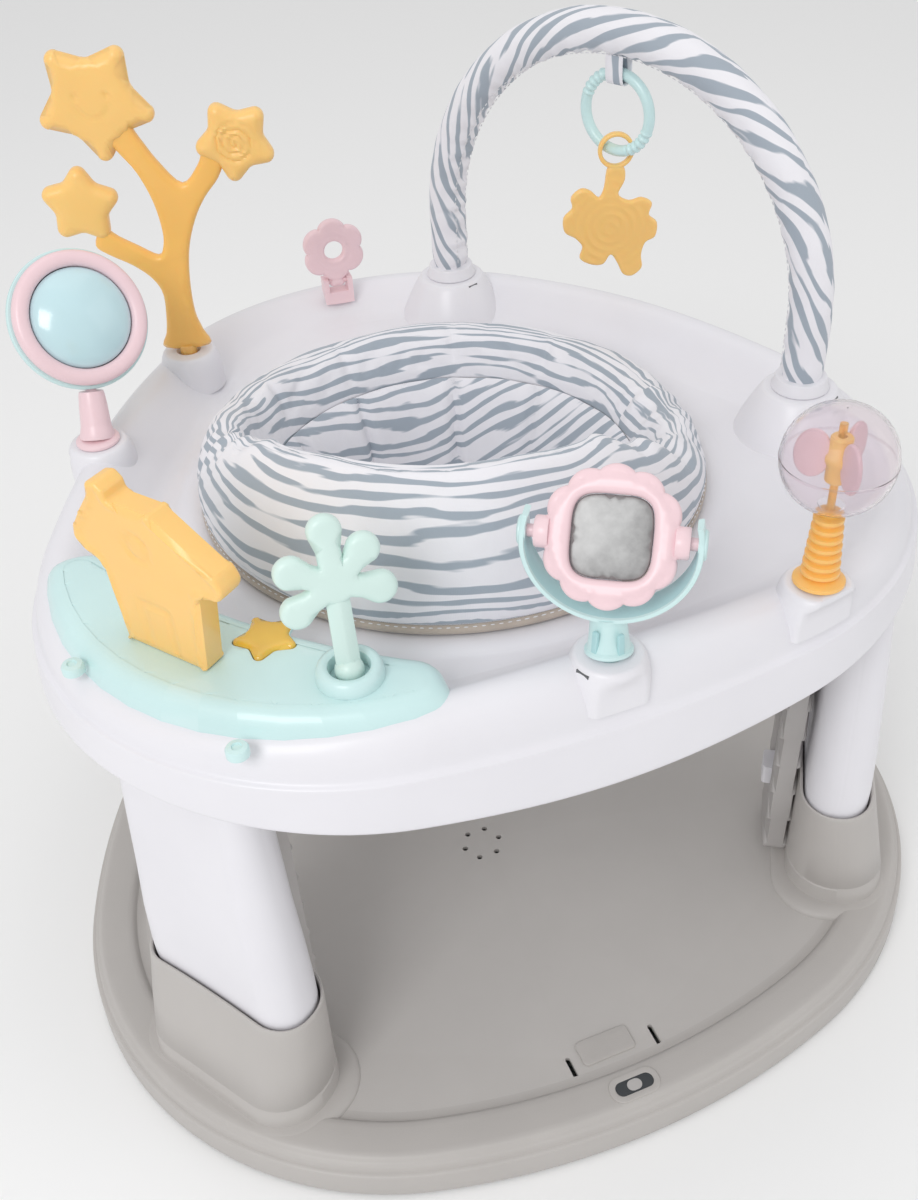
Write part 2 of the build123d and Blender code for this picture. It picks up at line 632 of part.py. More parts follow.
# ---------------------------------------------------------------- star tree
SWAY_GAP = 3.8                        # the flared foot of the trunk clears its socket when it sways
tree_plane = facing((*STAR_TREE_SPOT, SOCKET_TOP + SWAY_GAP), 252)
TREE_THICK = 11.0
STAR_THICK = 16.0
tree_limbs = [
    ((0, 0), (4, 75), 22, 14),
    ((4, 75), (9, 124), 14, 12),
    ((9, 118), (-28, 198), 12, 10),
    ((9, 118), (60, 166), 11, 8),
    ((3, 92), (-50, 126), 10, 8),
]
tree_star_spots = [((-33, 213), 52, 28, 54), ((70, 175), 38, 21, 44), ((-62, 132), 37, 20, 84)]
with BuildPart() as tree_trunk:
    with BuildSketch(tree_plane.offset(-TREE_THICK / 2)):
        for (x0, y0), (x1, y1), half0, half1 in tree_limbs:
            length = math.hypot(x1 - x0, y1 - y0)
            nx = -(y1 - y0) / length
            ny = (x1 - x0) / length
            Polygon((x0 + nx * half0, y0 + ny * half0), (x0 - nx * half0, y0 - ny * half0),
                    (x1 - nx * half1, y1 - ny * half1), (x1 + nx * half1, y1 + ny * half1), align=None)
            with Locations((x1, y1)):
                Circle(half1)
    extrude(amount=TREE_THICK)
    with Locations((*STAR_TREE_SPOT, SOCKET_TOP - 14)):
        Cylinder(7.5, 14 + SWAY_GAP + 2, align=(Align.CENTER, Align.CENTER, Align.MIN))
    for (star_x, star_y), tip, notch, turn in tree_star_spots:
        extrude(star(shifted(tree_plane, star_x, star_y, -STAR_THICK / 2), tip, notch, turn, 6),
                amount=STAR_THICK, mode=Mode.SUBTRACT)
save(tree_trunk, "tree_trunk")

with BuildPart() as tree_stars:
    for (star_x, star_y), tip, notch, turn in tree_star_spots:
        extrude(star(shifted(tree_plane, star_x, star_y, -STAR_THICK / 2), tip, notch, turn, 6),
                amount=STAR_THICK)
save(tree_stars, "tree_stars")

# ---------------------------------------------------------------- domed rattle
DOME_AZIMUTH = 286
DOME_LEAN = 30
DOME_CENTRE = (-244.0, 143.0, 526.0)
DOME_OUTER = 54.0
RING_OUTER = 51.0
LENS_RADIUS = 38.5
dome_plane = facing(DOME_CENTRE, DOME_AZIMUTH, DOME_LEAN)
stalk_foot = (*DOME_SPOT, SOCKET_TOP + GAP)
stalk_way = Vector(*DOME_CENTRE) - Vector(*stalk_foot)
stalk_axis = stalk_way.normalized()
STALK_LENGTH = stalk_way.length - DOME_OUTER - 1
DOME_PIN = 4.0
DOME_PIN_LENGTH = 16.0
stalk_end = Plane(origin=stalk_foot, z_dir=tuple(stalk_axis)).offset(STALK_LENGTH)
with BuildPart() as dome_stalk:
    with BuildSketch(Plane.XY.offset(SOCKET_TOP - 16)):
        with Locations(DOME_SPOT):
            Circle(PLUG_HOLE - GAP)
    extrude(amount=17)
    with BuildSketch(Plane.XY.offset(SOCKET_TOP + GAP)):
        with Locations(DOME_SPOT):
            Circle(17)
    extrude(amount=3)
    with BuildSketch(Plane.XY.offset(SOCKET_TOP + GAP + 3)):
        with Locations(DOME_SPOT):
            Circle(13)
    with BuildSketch(stalk_end):
        Circle(9.5)
    loft()
    with BuildSketch(stalk_end):
        Circle(DOME_PIN)
    extrude(amount=DOME_PIN_LENGTH)
save(dome_stalk, "dome_stalk")

with BuildPart() as dome_back:
    with BuildSketch(dome_plane.offset(-20)):
        Circle(DOME_OUTER - 10)
    with BuildSketch(dome_plane.offset(-6)):
        Circle(DOME_OUTER)
    loft()
    with BuildSketch(dome_plane.offset(-6)):
        Circle(DOME_OUTER)
    extrude(amount=4)
    with BuildSketch(stalk_end.offset(-2)):
        Circle(DOME_PIN + 0.06)
    extrude(amount=DOME_PIN_LENGTH + 4, mode=Mode.SUBTRACT)
save(dome_back, "dome_back")

with BuildPart() as dome_ring:
    with BuildSketch(dome_plane.offset(-2)):
        Circle(RING_OUTER)
        Circle(LENS_RADIUS + GAP, mode=Mode.SUBTRACT)
    extrude(amount=10)
    fillet(dome_ring.edges().filter_by(GeomType.CIRCLE).sort_by(Axis(DOME_CENTRE, dome_plane.z_dir))[-2:], 3)
save(dome_ring, "dome_ring")

LENS_TOP = 18.0
LENS_BULGE = LENS_TOP - 4
lens_sphere = (LENS_RADIUS**2 + LENS_BULGE**2) / (2 * LENS_BULGE)
half_turn = math.asin(LENS_RADIUS / lens_sphere) / 2
half_way = (lens_sphere * math.sin(half_turn), LENS_TOP - lens_sphere * (1 - math.cos(half_turn)))
with BuildPart() as dome_lens:
    with BuildSketch(Plane(origin=DOME_CENTRE, x_dir=dome_plane.x_dir, z_dir=-dome_plane.y_dir)):
        with BuildLine():
            Line((0, -2 + GAP), (LENS_RADIUS, -2 + GAP))
            Line((LENS_RADIUS, -2 + GAP), (LENS_RADIUS, 4))
            ThreePointArc((LENS_RADIUS, 4), half_way, (0, LENS_TOP))
            Line((0, LENS_TOP), (0, -2 + GAP))
        make_face()
    revolve(axis=Axis(DOME_CENTRE, dome_plane.z_dir))
save(dome_lens, "dome_lens")

# ---------------------------------------------------------------- flower flap
FLOWER_AZIMUTH = 266
FLOWER_HEIGHT = 39.0
flower_plane = facing((*FLOWER_SPOT, SOCKET_TOP - 12), FLOWER_AZIMUTH)
FLOWER_PIN_HEIGHT = 8.0
with BuildPart() as flower:
    with BuildSketch(flower_plane.offset(-4)):
        with Locations((0, FLOWER_HEIGHT)):
            Circle(23)
            with PolarLocations(22, 6, 30):
                Circle(9)
        with Locations((0, 14)):
            Rectangle(15, 20)
        with Locations((0, FLOWER_PIN_HEIGHT)):
            Rectangle(15, 10)
        with Locations((0, FLOWER_HEIGHT)):
            Circle(9, mode=Mode.SUBTRACT)
    extrude(amount=8)
    with Locations(shifted(flower_plane, 0, FLOWER_PIN_HEIGHT, 0, (0, 90, 0))):
        Cylinder(2.58, 30, mode=Mode.SUBTRACT)
save(flower, "flower")

with BuildPart() as flower_clevis:
    for ear_side in (-1, 1):
        with BuildSketch(flower_plane.offset(-7)):
            with Locations((ear_side * 11.6, 3)):
                Rectangle(4.8, 18)
        extrude(amount=14)
    with BuildSketch(flower_plane.offset(-7)):
        with Locations((0, -1)):
            Rectangle(28, 30, align=(Align.CENTER, Align.MAX))
    extrude(amount=14)
    with Locations(shifted(flower_plane, 0, FLOWER_PIN_HEIGHT, 0, (0, 90, 0))):
        Cylinder(2.5, 24)
    add(tray_envelope.part, mode=Mode.SUBTRACT)
save(flower_clevis, "flower_clevis")

# ---------------------------------------------------------------- swinging mirror
MIRROR_AZIMUTH = 236
MIRROR_LEAN = 36
YOKE_OUTER = 54.0
YOKE_INNER = 50.5
YOKE_DEPTH = 24.0
FRAME_RADIUS = 42.5
YOKE_LEAN = 6.0                       # the yoke stands almost upright; the mirror tips back inside it
MIRROR_CENTRE = (0.0, -273.0, SOCKET_TOP + 79)
mirror_plane = facing(MIRROR_CENTRE, MIRROR_AZIMUTH, MIRROR_LEAN)
yoke_plane = facing(MIRROR_CENTRE, MIRROR_AZIMUTH, YOKE_LEAN)
with BuildPart() as mirror_yoke:
    with BuildSketch(yoke_plane.offset(-YOKE_DEPTH / 2)):
        Circle(YOKE_OUTER)
        Circle(YOKE_INNER, mode=Mode.SUBTRACT)
        with Locations((0, 60)):
            Rectangle(120, 92, mode=Mode.SUBTRACT)
    extrude(amount=YOKE_DEPTH)
    with Locations(shifted(yoke_plane, 0, 0, 0, (0, 90, 0))):
        Cylinder(4.4, 130, mode=Mode.SUBTRACT)
    with BuildSketch(Plane.XY.offset(SOCKET_TOP - 14)):
        with Locations(MIRROR_SPOT):
            Circle(PLUG_HOLE - GAP)
    extrude(amount=16)
    with BuildSketch(Plane.XY.offset(SOCKET_TOP + GAP)):
        with Locations(MIRROR_SPOT):
            Circle(15)
    with BuildSketch(shifted(yoke_plane, 0, 1.5 - YOKE_OUTER, 0, (-90, 0, 0))):
        Circle(10)
    loft()
save(mirror_yoke, "mirror_yoke")

with BuildPart() as mirror_frame:
    with BuildSketch(mirror_plane.offset(-7)):
        Circle(FRAME_RADIUS - 2)
        with PolarLocations(FRAME_RADIUS - 5, 12):
            Circle(7)
        RectangleRounded(48, 50, 17, mode=Mode.SUBTRACT)
    extrude(amount=14)
    with BuildSketch(mirror_plane.offset(-7)):
        RectangleRounded(52, 54, 18)
    extrude(amount=3)
    with Locations(shifted(mirror_plane, 0, 0, 0, (0, 90, 0))):
        with Locations((0, 0, FRAME_RADIUS - 1), (0, 0, 1 - FRAME_RADIUS)):
            Cylinder(10, 10)
        with Locations((0, 0, FRAME_RADIUS + 5), (0, 0, -5 - FRAME_RADIUS)):
            Cylinder(4, 9)
save(mirror_frame, "mirror_frame")

with BuildPart() as mirror_plate:
    with BuildSketch(mirror_plane.offset(-4)):
        RectangleRounded(47.4, 49.4, 16.8)
    extrude(amount=6)
save(mirror_plate, "mirror_plate")

# ---------------------------------------------------------------- ball spinner
BALL_CENTRE = (BALL_SPOT[0] + 3, BALL_SPOT[1] + 4, SOCKET_TOP + 92)
BALL_RADIUS = 36.0
PIVOT_BOTTOM = BALL_CENTRE[2] - BALL_RADIUS - 2
BALL_PIN = 2.6
BALL_BORE = BALL_PIN + 0.08
with BuildPart() as ball_stalk:
    with BuildSketch(Plane.XY.offset(SOCKET_TOP - 16)):
        with Locations(BALL_SPOT):
            Circle(PLUG_HOLE - GAP)
    extrude(amount=17)
    with BuildSketch(Plane.XY.offset(SOCKET_TOP + GAP)):
        with Locations(BALL_SPOT):
            Circle(17)
    extrude(amount=4)
    with BuildSketch(Plane.XY.offset(SOCKET_TOP + 4)):
        with Locations(BALL_SPOT):
            Circle(12)
    with BuildSketch(Plane.XY.offset(PIVOT_BOTTOM)):
        with Locations(BALL_CENTRE[0:2]):
            Circle(8)
    loft()
    for step in range(5):
        share = (step + 0.5) / 5
        ring_x = BALL_SPOT[0] + share * (BALL_CENTRE[0] - BALL_SPOT[0])
        ring_y = BALL_SPOT[1] + share * (BALL_CENTRE[1] - BALL_SPOT[1])
        with BuildSketch(Plane.XY.offset(SOCKET_TOP + 6 + share * (PIVOT_BOTTOM - SOCKET_TOP - 8))):
            with Locations((ring_x, ring_y)):
                Circle(14 - 4 * share)
        extrude(amount=4.5)
    with BuildSketch(Plane.XY.offset(PIVOT_BOTTOM)):
        with Locations(BALL_CENTRE[0:2]):
            Circle(BALL_PIN)
    extrude(amount=2 * BALL_RADIUS - 10)
save(ball_stalk, "ball_stalk")

with BuildPart() as ball_shell:
    with Locations(BALL_CENTRE):
        Sphere(BALL_RADIUS)
        Sphere(BALL_RADIUS - 2, mode=Mode.SUBTRACT)
    with Locations((BALL_CENTRE[0], BALL_CENTRE[1], BALL_CENTRE[2] - BALL_RADIUS)):
        Cylinder(9, 10, mode=Mode.SUBTRACT)
    with Locations((BALL_CENTRE[0], BALL_CENTRE[1], BALL_CENTRE[2] + BALL_RADIUS - 1.5)):
        Cylinder(6, 17, align=(Align.CENTER, Align.CENTER, Align.MAX))
    with Locations((BALL_CENTRE[0], BALL_CENTRE[1], PIVOT_BOTTOM + 2 * BALL_RADIUS - 9)):
        Cylinder(BALL_BORE, 30, align=(Align.CENTER, Align.CENTER, Align.MAX), mode=Mode.SUBTRACT)
save(ball_shell, "ball_shell")

with BuildPart() as ball_paddles:
    for k in range(3):
        ux, uy = polar(1.0, 120 * k + 20)
        blade = Plane(origin=BALL_CENTRE, x_dir=(ux, uy, 0), z_dir=(-uy, ux, 0))
        with BuildSketch(blade.offset(-1.5)):
            with Locations((16, 2)):
                Ellipse(11.5, 17)
        extrude(amount=3)
    with Locations(BALL_CENTRE):
        Cylinder(7, 32)
        Cylinder(BALL_BORE, 60, mode=Mode.SUBTRACT)
save(ball_paddles, "ball_paddles")

# ---------------------------------------------------------------- island with house, star and palm
island_centre = polar(TRAY_CORNER_OFFSET, 210, TRAY_CENTRE)
ISLAND_TOP = 437.0
PALM_SPOT = (-158.0, -236.0)
HOUSE_FRONT_LEFT = (-279.0, -143.0)
HOUSE_AZIMUTH = 216
HOUSE_THICK = 20.0
STAR_BUTTON_SPOT = (-196.0, -179.0)


def island_face(inset, height):
    """The crescent outline of the island, drawn in by an inset."""
    outer = 216 - inset
    turn = math.degrees(inset / 190)
    with BuildSketch(Plane.XY.offset(height)) as face:
        with BuildLine():
            ThreePointArc(polar(outer, 167 + turn, island_centre), polar(outer, 219, island_centre),
                          polar(outer, 273 - turn, island_centre))
            Line(polar(outer, 273 - turn, island_centre),
                 polar(165 + inset, 274 - turn, island_centre))
            ThreePointArc(polar(165 + inset, 274 - turn, island_centre),
                          polar(118 + inset, 219, island_centre),
                          polar(165 + inset, 166 + turn, island_centre))
            Line(polar(165 + inset, 166 + turn, island_centre),
                 polar(outer, 167 + turn, island_centre))
        make_face()
        fillet(face.vertices(), 22 - 0.8 * inset)
    return face.sketch


HOUSE_HALF_WIDTH = 33.0
house_normal = polar(1.0, HOUSE_AZIMUTH)
house_middle = (HOUSE_FRONT_LEFT[0] - house_normal[1] * HOUSE_HALF_WIDTH - house_normal[0] * HOUSE_THICK / 2,
                HOUSE_FRONT_LEFT[1] + house_normal[0] * HOUSE_HALF_WIDTH - house_normal[1] * HOUSE_THICK / 2)
ISLAND_SECTIONS = [(0, DISH_FLOOR - 1), (3, 420), (8, 432), (15, ISLAND_TOP)]
with BuildPart() as island:
    loft([island_face(inset, height) for inset, height in ISLAND_SECTIONS], ruled=True)
    loft([island_face(3, DISH_FLOOR - 4), island_face(6, 420), island_face(11, 430),
          island_face(17, ISLAND_TOP - 3)], ruled=True, mode=Mode.SUBTRACT)
    add(tray_envelope.part, mode=Mode.SUBTRACT)
    extrude(star(Plane(origin=(*STAR_BUTTON_SPOT, ISLAND_TOP - 12)), 26, 14.5, 96, 4), amount=18,
            mode=Mode.SUBTRACT)
    with BuildSketch(Plane.XY.offset(ISLAND_TOP - 6)):
        with Locations(house_middle):
            Circle(6)
    extrude(amount=12, mode=Mode.SUBTRACT)
save(island, "island")

with BuildPart() as star_button:
    extrude(star(Plane(origin=(*STAR_BUTTON_SPOT, ISLAND_TOP - 5)), 25, 13.7, 96, 4), amount=7)
save(star_button, "star_button")

house_plane = facing((*house_middle, ISLAND_TOP + GAP), HOUSE_AZIMUTH)
with BuildPart() as house:
    with BuildSketch(house_plane.offset(-HOUSE_THICK / 2)):
        Polygon((-HOUSE_HALF_WIDTH, 0), (HOUSE_HALF_WIDTH, 0), (41, 62), (59, 66), (63, 74), (59, 82),
                (13, 112), (-19, 112), (-19, 118), (-25, 124), (-33, 122), (-35, 112), (-47, 96),
                (-55, 84), (-57, 74), (-49, 66), (-39, 62), align=None)
    extrude(amount=HOUSE_THICK)
    with Locations((*house_middle, ISLAND_TOP - 8)):
        Cylinder(5.5, 9, align=(Align.CENTER, Align.CENTER, Align.MIN))
save(house, "house")

COLLAR_RISE = 10.0
with BuildPart() as palm_collar:
    with Locations((*PALM_SPOT, ISLAND_TOP)):
        Cylinder(21, COLLAR_RISE, align=(Align.CENTER, Align.CENTER, Align.MIN))
        Cylinder(13, COLLAR_RISE, align=(Align.CENTER, Align.CENTER, Align.MIN), mode=Mode.SUBTRACT)
save(palm_collar, "palm_collar")

PALM_LEAN = 10
palm_plane = facing((*PALM_SPOT, ISLAND_TOP + 6), 266, PALM_LEAN)
PALM_HUB = 60.0
PALM_FOOT_GAP = 2.2
PALM_LEAVES = [(44, 35), (92, 43), (152, 36), (208, 36), (-18, 36)]
with BuildPart() as palm_tree:
    with BuildSketch(palm_plane.offset(-5)):
        with Locations((0, PALM_HUB / 2)):
            Rectangle(15, PALM_HUB)
        with Locations((0, PALM_HUB)):
            Circle(14)
        for leaf_angle, leaf_length in PALM_LEAVES:
            with Locations((0, PALM_HUB)):
                with Locations(Location((0, 0, 0), (0, 0, leaf_angle))):
                    with Locations((leaf_length / 2, 0)):
                        SlotOverall(leaf_length + 6, 20)
    extrude(amount=10)
    with Locations((*PALM_SPOT, ISLAND_TOP + 5)):
        Sphere(9.5)
    split(bisect_by=Plane.XY.offset(ISLAND_TOP + PALM_FOOT_GAP), keep=Keep.TOP)
save(palm_tree, "palm_tree")
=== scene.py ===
# %% [markdown]
# A baby activity jumper in soft pastel plastic and zebra-striped fabric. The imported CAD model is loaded
# first as a fixed frame. Every piece made here takes its place from that frame and rides on its bodies.

# %% Load the frame
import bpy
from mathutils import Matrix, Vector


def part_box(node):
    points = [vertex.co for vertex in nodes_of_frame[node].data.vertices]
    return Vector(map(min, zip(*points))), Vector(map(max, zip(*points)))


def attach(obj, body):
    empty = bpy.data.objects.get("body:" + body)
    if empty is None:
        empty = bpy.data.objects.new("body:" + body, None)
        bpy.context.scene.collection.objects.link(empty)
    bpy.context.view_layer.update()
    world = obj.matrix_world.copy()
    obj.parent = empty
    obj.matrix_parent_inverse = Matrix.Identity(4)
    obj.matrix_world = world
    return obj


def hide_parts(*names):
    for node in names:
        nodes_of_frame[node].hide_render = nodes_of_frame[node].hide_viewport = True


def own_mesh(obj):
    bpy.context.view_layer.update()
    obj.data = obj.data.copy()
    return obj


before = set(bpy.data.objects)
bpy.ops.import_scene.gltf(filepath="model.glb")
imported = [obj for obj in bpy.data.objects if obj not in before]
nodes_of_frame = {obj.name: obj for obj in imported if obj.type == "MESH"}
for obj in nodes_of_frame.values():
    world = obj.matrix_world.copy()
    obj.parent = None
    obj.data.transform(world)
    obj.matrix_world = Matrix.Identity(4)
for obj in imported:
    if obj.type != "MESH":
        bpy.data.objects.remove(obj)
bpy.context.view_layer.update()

import bmesh
import bpy
import numpy as np
from math import atan2, copysign, cos, degrees, exp, hypot, pi, radians, sin, sqrt, tan
from mathutils import Matrix, Vector, geometry, noise

MM = 0.001                                     # the sizes below are in millimetres
scene = bpy.context.scene


# %% [markdown]
# Places come from the frame: the low and high corner of a CAD node's box, and its middle.

# %% Places from the frame
def low(node):
    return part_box(node)[0] / MM


def high(node):
    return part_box(node)[1] / MM


def middle(node):
    return (low(node) + high(node)) / 2


FLOOR_TOP = high("floor_panel").z
BASE_TOP = high("base_ring").z
SOCKET_TOP = high("tray_top").z
BASE_SHIFT = 16.0                              # the base stands a little in front of the tray
tray_centre = Vector((middle("seat_track").x, middle("seat_track").y, 0))
base_centre = Vector((middle("leg_back").x, tray_centre.y - BASE_SHIFT, 0))
print("tray centre", tray_centre, "base centre", base_centre, "socket top", SOCKET_TOP)


# %% [markdown]
# Small helpers. A point at a radius and an azimuth, and matrices that place a piece: facing an azimuth and
# leaning back, standing upright, or running along an axis. All of them work in millimetres.

# %% Points and planes
def polar(radius, azimuth, centre=(0.0, 0.0, 0.0)):
    angle = radians(azimuth)
    return Vector((centre[0] + radius * cos(angle), centre[1] + radius * sin(angle), centre[2]))


def up(height):
    return Vector((0, 0, height))


def facing(point, azimuth, lean=0.0):
    """A matrix whose x runs to the viewer's right, y up the face and z out of it."""
    angle = radians(azimuth)
    tilt = radians(lean)
    out = Vector((cos(angle) * cos(tilt), sin(angle) * cos(tilt), sin(tilt)))
    right = Vector((-sin(angle), cos(angle), 0))
    return placed(point, right, out.cross(right), out)


def placed(point, x_axis, y_axis, z_axis):
    matrix = Matrix.Identity(4)
    for column, vector in enumerate((x_axis, y_axis, z_axis, Vector(point))):
        for row in range(3):
            matrix[row][column] = vector[row]
    return matrix


def standing(point, azimuth=0.0):
    """A matrix at a point with z up and x along an azimuth."""
    along = polar(1, azimuth)
    return placed(point, along, Vector((-along.y, along.x, 0)), up(1))


def along_axis(point, direction):
    """A matrix at a point whose z runs along a direction."""
    z_axis = Vector(direction).normalized()
    helper = up(1) if abs(z_axis.z) < 0.9 else Vector((1, 0, 0))
    x_axis = helper.cross(z_axis).normalized()
    return placed(point, x_axis, z_axis.cross(x_axis), z_axis)


def on_plane(matrix, x, y, z=0.0):
    return matrix @ Matrix.Translation((x, y, z))


print("a plane that faces the front looks along", facing((0, 0, 0), 270).col[2])


# %% [markdown]
# A mesh is a list of points and a list of faces that name them. new_mesh takes points in millimetres and
# turns them into metres. A shell is a grid of points: rows along it, columns round it.

# %% Meshes from lists
def linked(name, data):
    thing = bpy.data.objects.new(name, data)
    scene.collection.objects.link(thing)
    return thing


def new_mesh(name, points, faces, uvs=None, smooth_angle=40):
    """A mesh object from points in millimetres; uvs holds one (u, v) for each point, in metres."""
    mesh = bpy.data.meshes.new(name)
    mesh.from_pydata([Vector(p) * MM for p in points], [], faces)
    mesh.validate()
    if uvs is not None:
        layer = mesh.uv_layers.new(name="surface")
        for loop in mesh.loops:
            layer.data[loop.index].uv = uvs[loop.vertex_index]
    piece = linked(name, mesh)
    smooth(piece, smooth_angle)
    return piece


def smooth(piece, angle=40):
    mesh = piece.data
    mesh.shade_smooth()
    mesh.set_sharp_from_angle(angle=radians(angle))


def grid_faces(rows, columns, close_rows=False, close_columns=True):
    """Quads between rows of points; a row's last point joins its first when close_columns is true."""
    faces = []
    for row in range(rows if close_rows else rows - 1):
        after = (row + 1) % rows
        for column in range(columns if close_columns else columns - 1):
            beside = (column + 1) % columns
            faces.append((row * columns + column, row * columns + beside,
                          after * columns + beside, after * columns + column))
    return faces


def face_outwards(piece):
    """Turns a closed shell's faces outwards: its signed volume has to be positive."""
    mesh = piece.data
    mesh.calc_loop_triangles()
    volume = 0.0
    for triangle in mesh.loop_triangles:
        a, b, c = (mesh.vertices[i].co for i in triangle.vertices)
        volume += a.dot(b.cross(c))
    if volume < 0:
        mesh.flip_normals()


def close_seam(piece, gap=1e-5):
    """Welds points that lie on each other."""
    shell = bmesh.new()
    shell.from_mesh(piece.data)
    bmesh.ops.remove_doubles(shell, verts=shell.verts, dist=gap)
    bmesh.ops.dissolve_degenerate(shell, edges=shell.edges, dist=gap / 10)
    shell.to_mesh(piece.data)
    shell.free()
    smooth(piece, 50)


print("a grid of 3 by 4 points has", len(grid_faces(3, 4)), "faces")


# %% [markdown]
# Three ways to make a shell. A loft lays a skin over rings of points, which suits the tray and the legs.
# A turned piece revolves a profile about an axis, which suits knobs, bosses and the ball. A tube follows a
# path, which suits cords and springs.

# %% Lofts, turned pieces and tubes
def loft(name, rings, loop=False, caps=(True, True), smooth_angle=40):
    """A skin over rings of points; caps closes the first and the last ring with a fan."""
    columns = len(rings[0])
    points = [p for ring in rings for p in ring]
    faces = grid_faces(len(rings), columns, close_rows=loop)
    if not loop:
        for cap, ring_index in zip(caps, (0, len(rings) - 1)):
            if cap:
                start = ring_index * columns
                points.append(sum((Vector(p) for p in rings[ring_index]), Vector()) / columns)
                hub = len(points) - 1
                for column in range(columns):
                    a, b = start + column, start + (column + 1) % columns
                    faces.append((b, a, hub) if ring_index == 0 else (a, b, hub))
    piece = new_mesh(name, points, faces, smooth_angle=smooth_angle)
    face_outwards(piece)
    return piece


def revolve(name, matrix, profile, segments=64, loop=False, caps=(True, True), smooth_angle=40):
    """A turned piece: profile is a list of (radius, height) along the matrix's z axis."""
    rings = []
    for radius, height in profile:
        rings.append([matrix @ Vector((radius * cos(2 * pi * k / segments),
                                       radius * sin(2 * pi * k / segments), height))
                      for k in range(segments)])
    return loft(name, rings, loop, caps, smooth_angle)


def tube(name, path, radius, sides=16, closed=False):
    """A round tube along points; radius is a number or a function of the share along the path."""
    count = len(path)
    path = [Vector(p) for p in path]
    tangents = []
    for k in range(count):
        before = path[k - 1] if closed or k > 0 else path[0]
        after = path[(k + 1) % count] if closed or k < count - 1 else path[-1]
        tangents.append((after - before).normalized())
    helper = up(1) if abs(tangents[0].z) < 0.9 else Vector((1, 0, 0))
    side = helper.cross(tangents[0]).normalized()
    points = []
    for k in range(count):
        side = (side - tangents[k] * side.dot(tangents[k])).normalized()
        other = tangents[k].cross(side)
        for s in range(sides):
            angle = 2 * pi * s / sides
            size = radius(k / (count - 1)) if callable(radius) else radius
            points.append(path[k] + (side * cos(angle) + other * sin(angle)) * size)
    faces = grid_faces(count, sides, close_rows=closed)
    if not closed:
        for start, flip in ((0, True), ((count - 1) * sides, False)):
            ring = list(range(start, start + sides))
            faces.append(tuple(reversed(ring)) if flip else tuple(ring))
    return new_mesh(name, points, faces, smooth_angle=60)


print("helpers for", loft.__name__, revolve.__name__, tube.__name__)


# %% [markdown]
# A finished piece gets one material, the body that it rides on, and the CAD nodes that it stands for.

# %% Joining and finishing
def joined(name, pieces):
    """One object from several, under one name."""
    bpy.ops.object.select_all(action="DESELECT")
    for piece in pieces:
        piece.select_set(True)
    bpy.context.view_layer.objects.active = pieces[0]
    bpy.ops.object.join()
    pieces[0].name = name
    pieces[0].data.name = name
    return pieces[0]


def finish_piece(piece, body, material, replaces=()):
    """Gives a finished piece its material, its body and the CAD nodes that it stands for."""
    piece.data.materials.clear()
    piece.data.materials.append(material)
    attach(piece, body)
    if replaces:
        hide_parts(*replaces)
    print(piece.name, "on", body, "with", len(piece.data.polygons), "faces")
    return piece


# %% [markdown]
# Many toys are flat moulded plates: stars, leaves, a flower, a house. Each starts from a closed outline,
# either a smooth curve through points or straight sides with rounded corners.

# %% Outlines
def smooth_outline(points, steps=6):
    """A closed Catmull-Rom curve through a few points."""
    result = []
    count = len(points)
    for k in range(count):
        p0, p1, p2, p3 = (Vector(points[(k + j - 1) % count]) for j in range(4))
        for step in range(steps):
            t = step / steps
            result.append(tuple(0.5 * (2 * p1 + (p2 - p0) * t + (2 * p0 - 5 * p1 + 4 * p2 - p3) * t * t
                                       + (3 * p1 - p0 - 3 * p2 + p3) * t**3)))
    return result


def rounded_outline(corners, steps=7):
    """A closed outline with an arc at each corner; corners holds (x, y, radius)."""
    result = []
    count = len(corners)
    for k in range(count):
        here = Vector(corners[k][:2])
        radius = corners[k][2]
        back = (Vector(corners[k - 1][:2]) - here)
        ahead = (Vector(corners[(k + 1) % count][:2]) - here)
        angle = back.angle(ahead)
        reach = min(radius / tan(angle / 2), 0.48 * back.length, 0.48 * ahead.length)
        radius = reach * tan(angle / 2)
        start = here + back.normalized() * reach
        end = here + ahead.normalized() * reach
        centre = here + (back.normalized() + ahead.normalized()).normalized() * hypot(reach, radius)
        first = start - centre
        sweep = first.angle_signed(end - centre)
        for step in range(steps + 1):
            turn = -sweep * step / steps
            c, s = cos(turn), sin(turn)
            result.append((centre.x + first.x * c - first.y * s, centre.y + first.x * s + first.y * c))
    return result


def star_outline(tip, notch, turn, rounding):
    corners = []
    for k in range(5):
        p = polar(tip, turn + 72 * k)
        q = polar(notch, turn + 36 + 72 * k)
        corners += [(p.x, p.y, rounding), (q.x, q.y, rounding * 1.3)]
    return rounded_outline(corners)


def polar_outline(reach, count):
    """An outline from a function that gives the reach at each angle in degrees."""
    result = []
    for k in range(count):
        angle = 360 * k / count
        p = polar(reach(angle), angle)
        result.append((p.x, p.y))
    return result


def circle_outline(radius, centre=(0.0, 0.0), count=32):
    return [(centre[0] + radius * cos(2 * pi * k / count),
             centre[1] + radius * sin(2 * pi * k / count)) for k in range(count)]


def oblong(depth, width, rounding, arc=8, straight=8):
    """A rounded rectangle with a fixed number of points, so that a stack of them can be lofted."""
    points = []
    for k, (sx, sy) in enumerate(((1, 1), (-1, 1), (-1, -1), (1, -1))):
        cx, cy = sx * (depth / 2 - rounding), sy * (width / 2 - rounding)
        for step in range(arc + 1):
            p = polar(rounding, 90 * k + 90 * step / arc, (cx, cy, 0))
            points.append(p)
        nx, ny = ((-1, 1), (-1, -1), (1, -1), (1, 1))[k]
        after = polar(rounding, 90 * k + 90, (nx * (depth / 2 - rounding), ny * (width / 2 - rounding), 0))
        last = points[-1]
        points += [last.lerp(after, step / straight) for step in range(1, straight)]
    return points


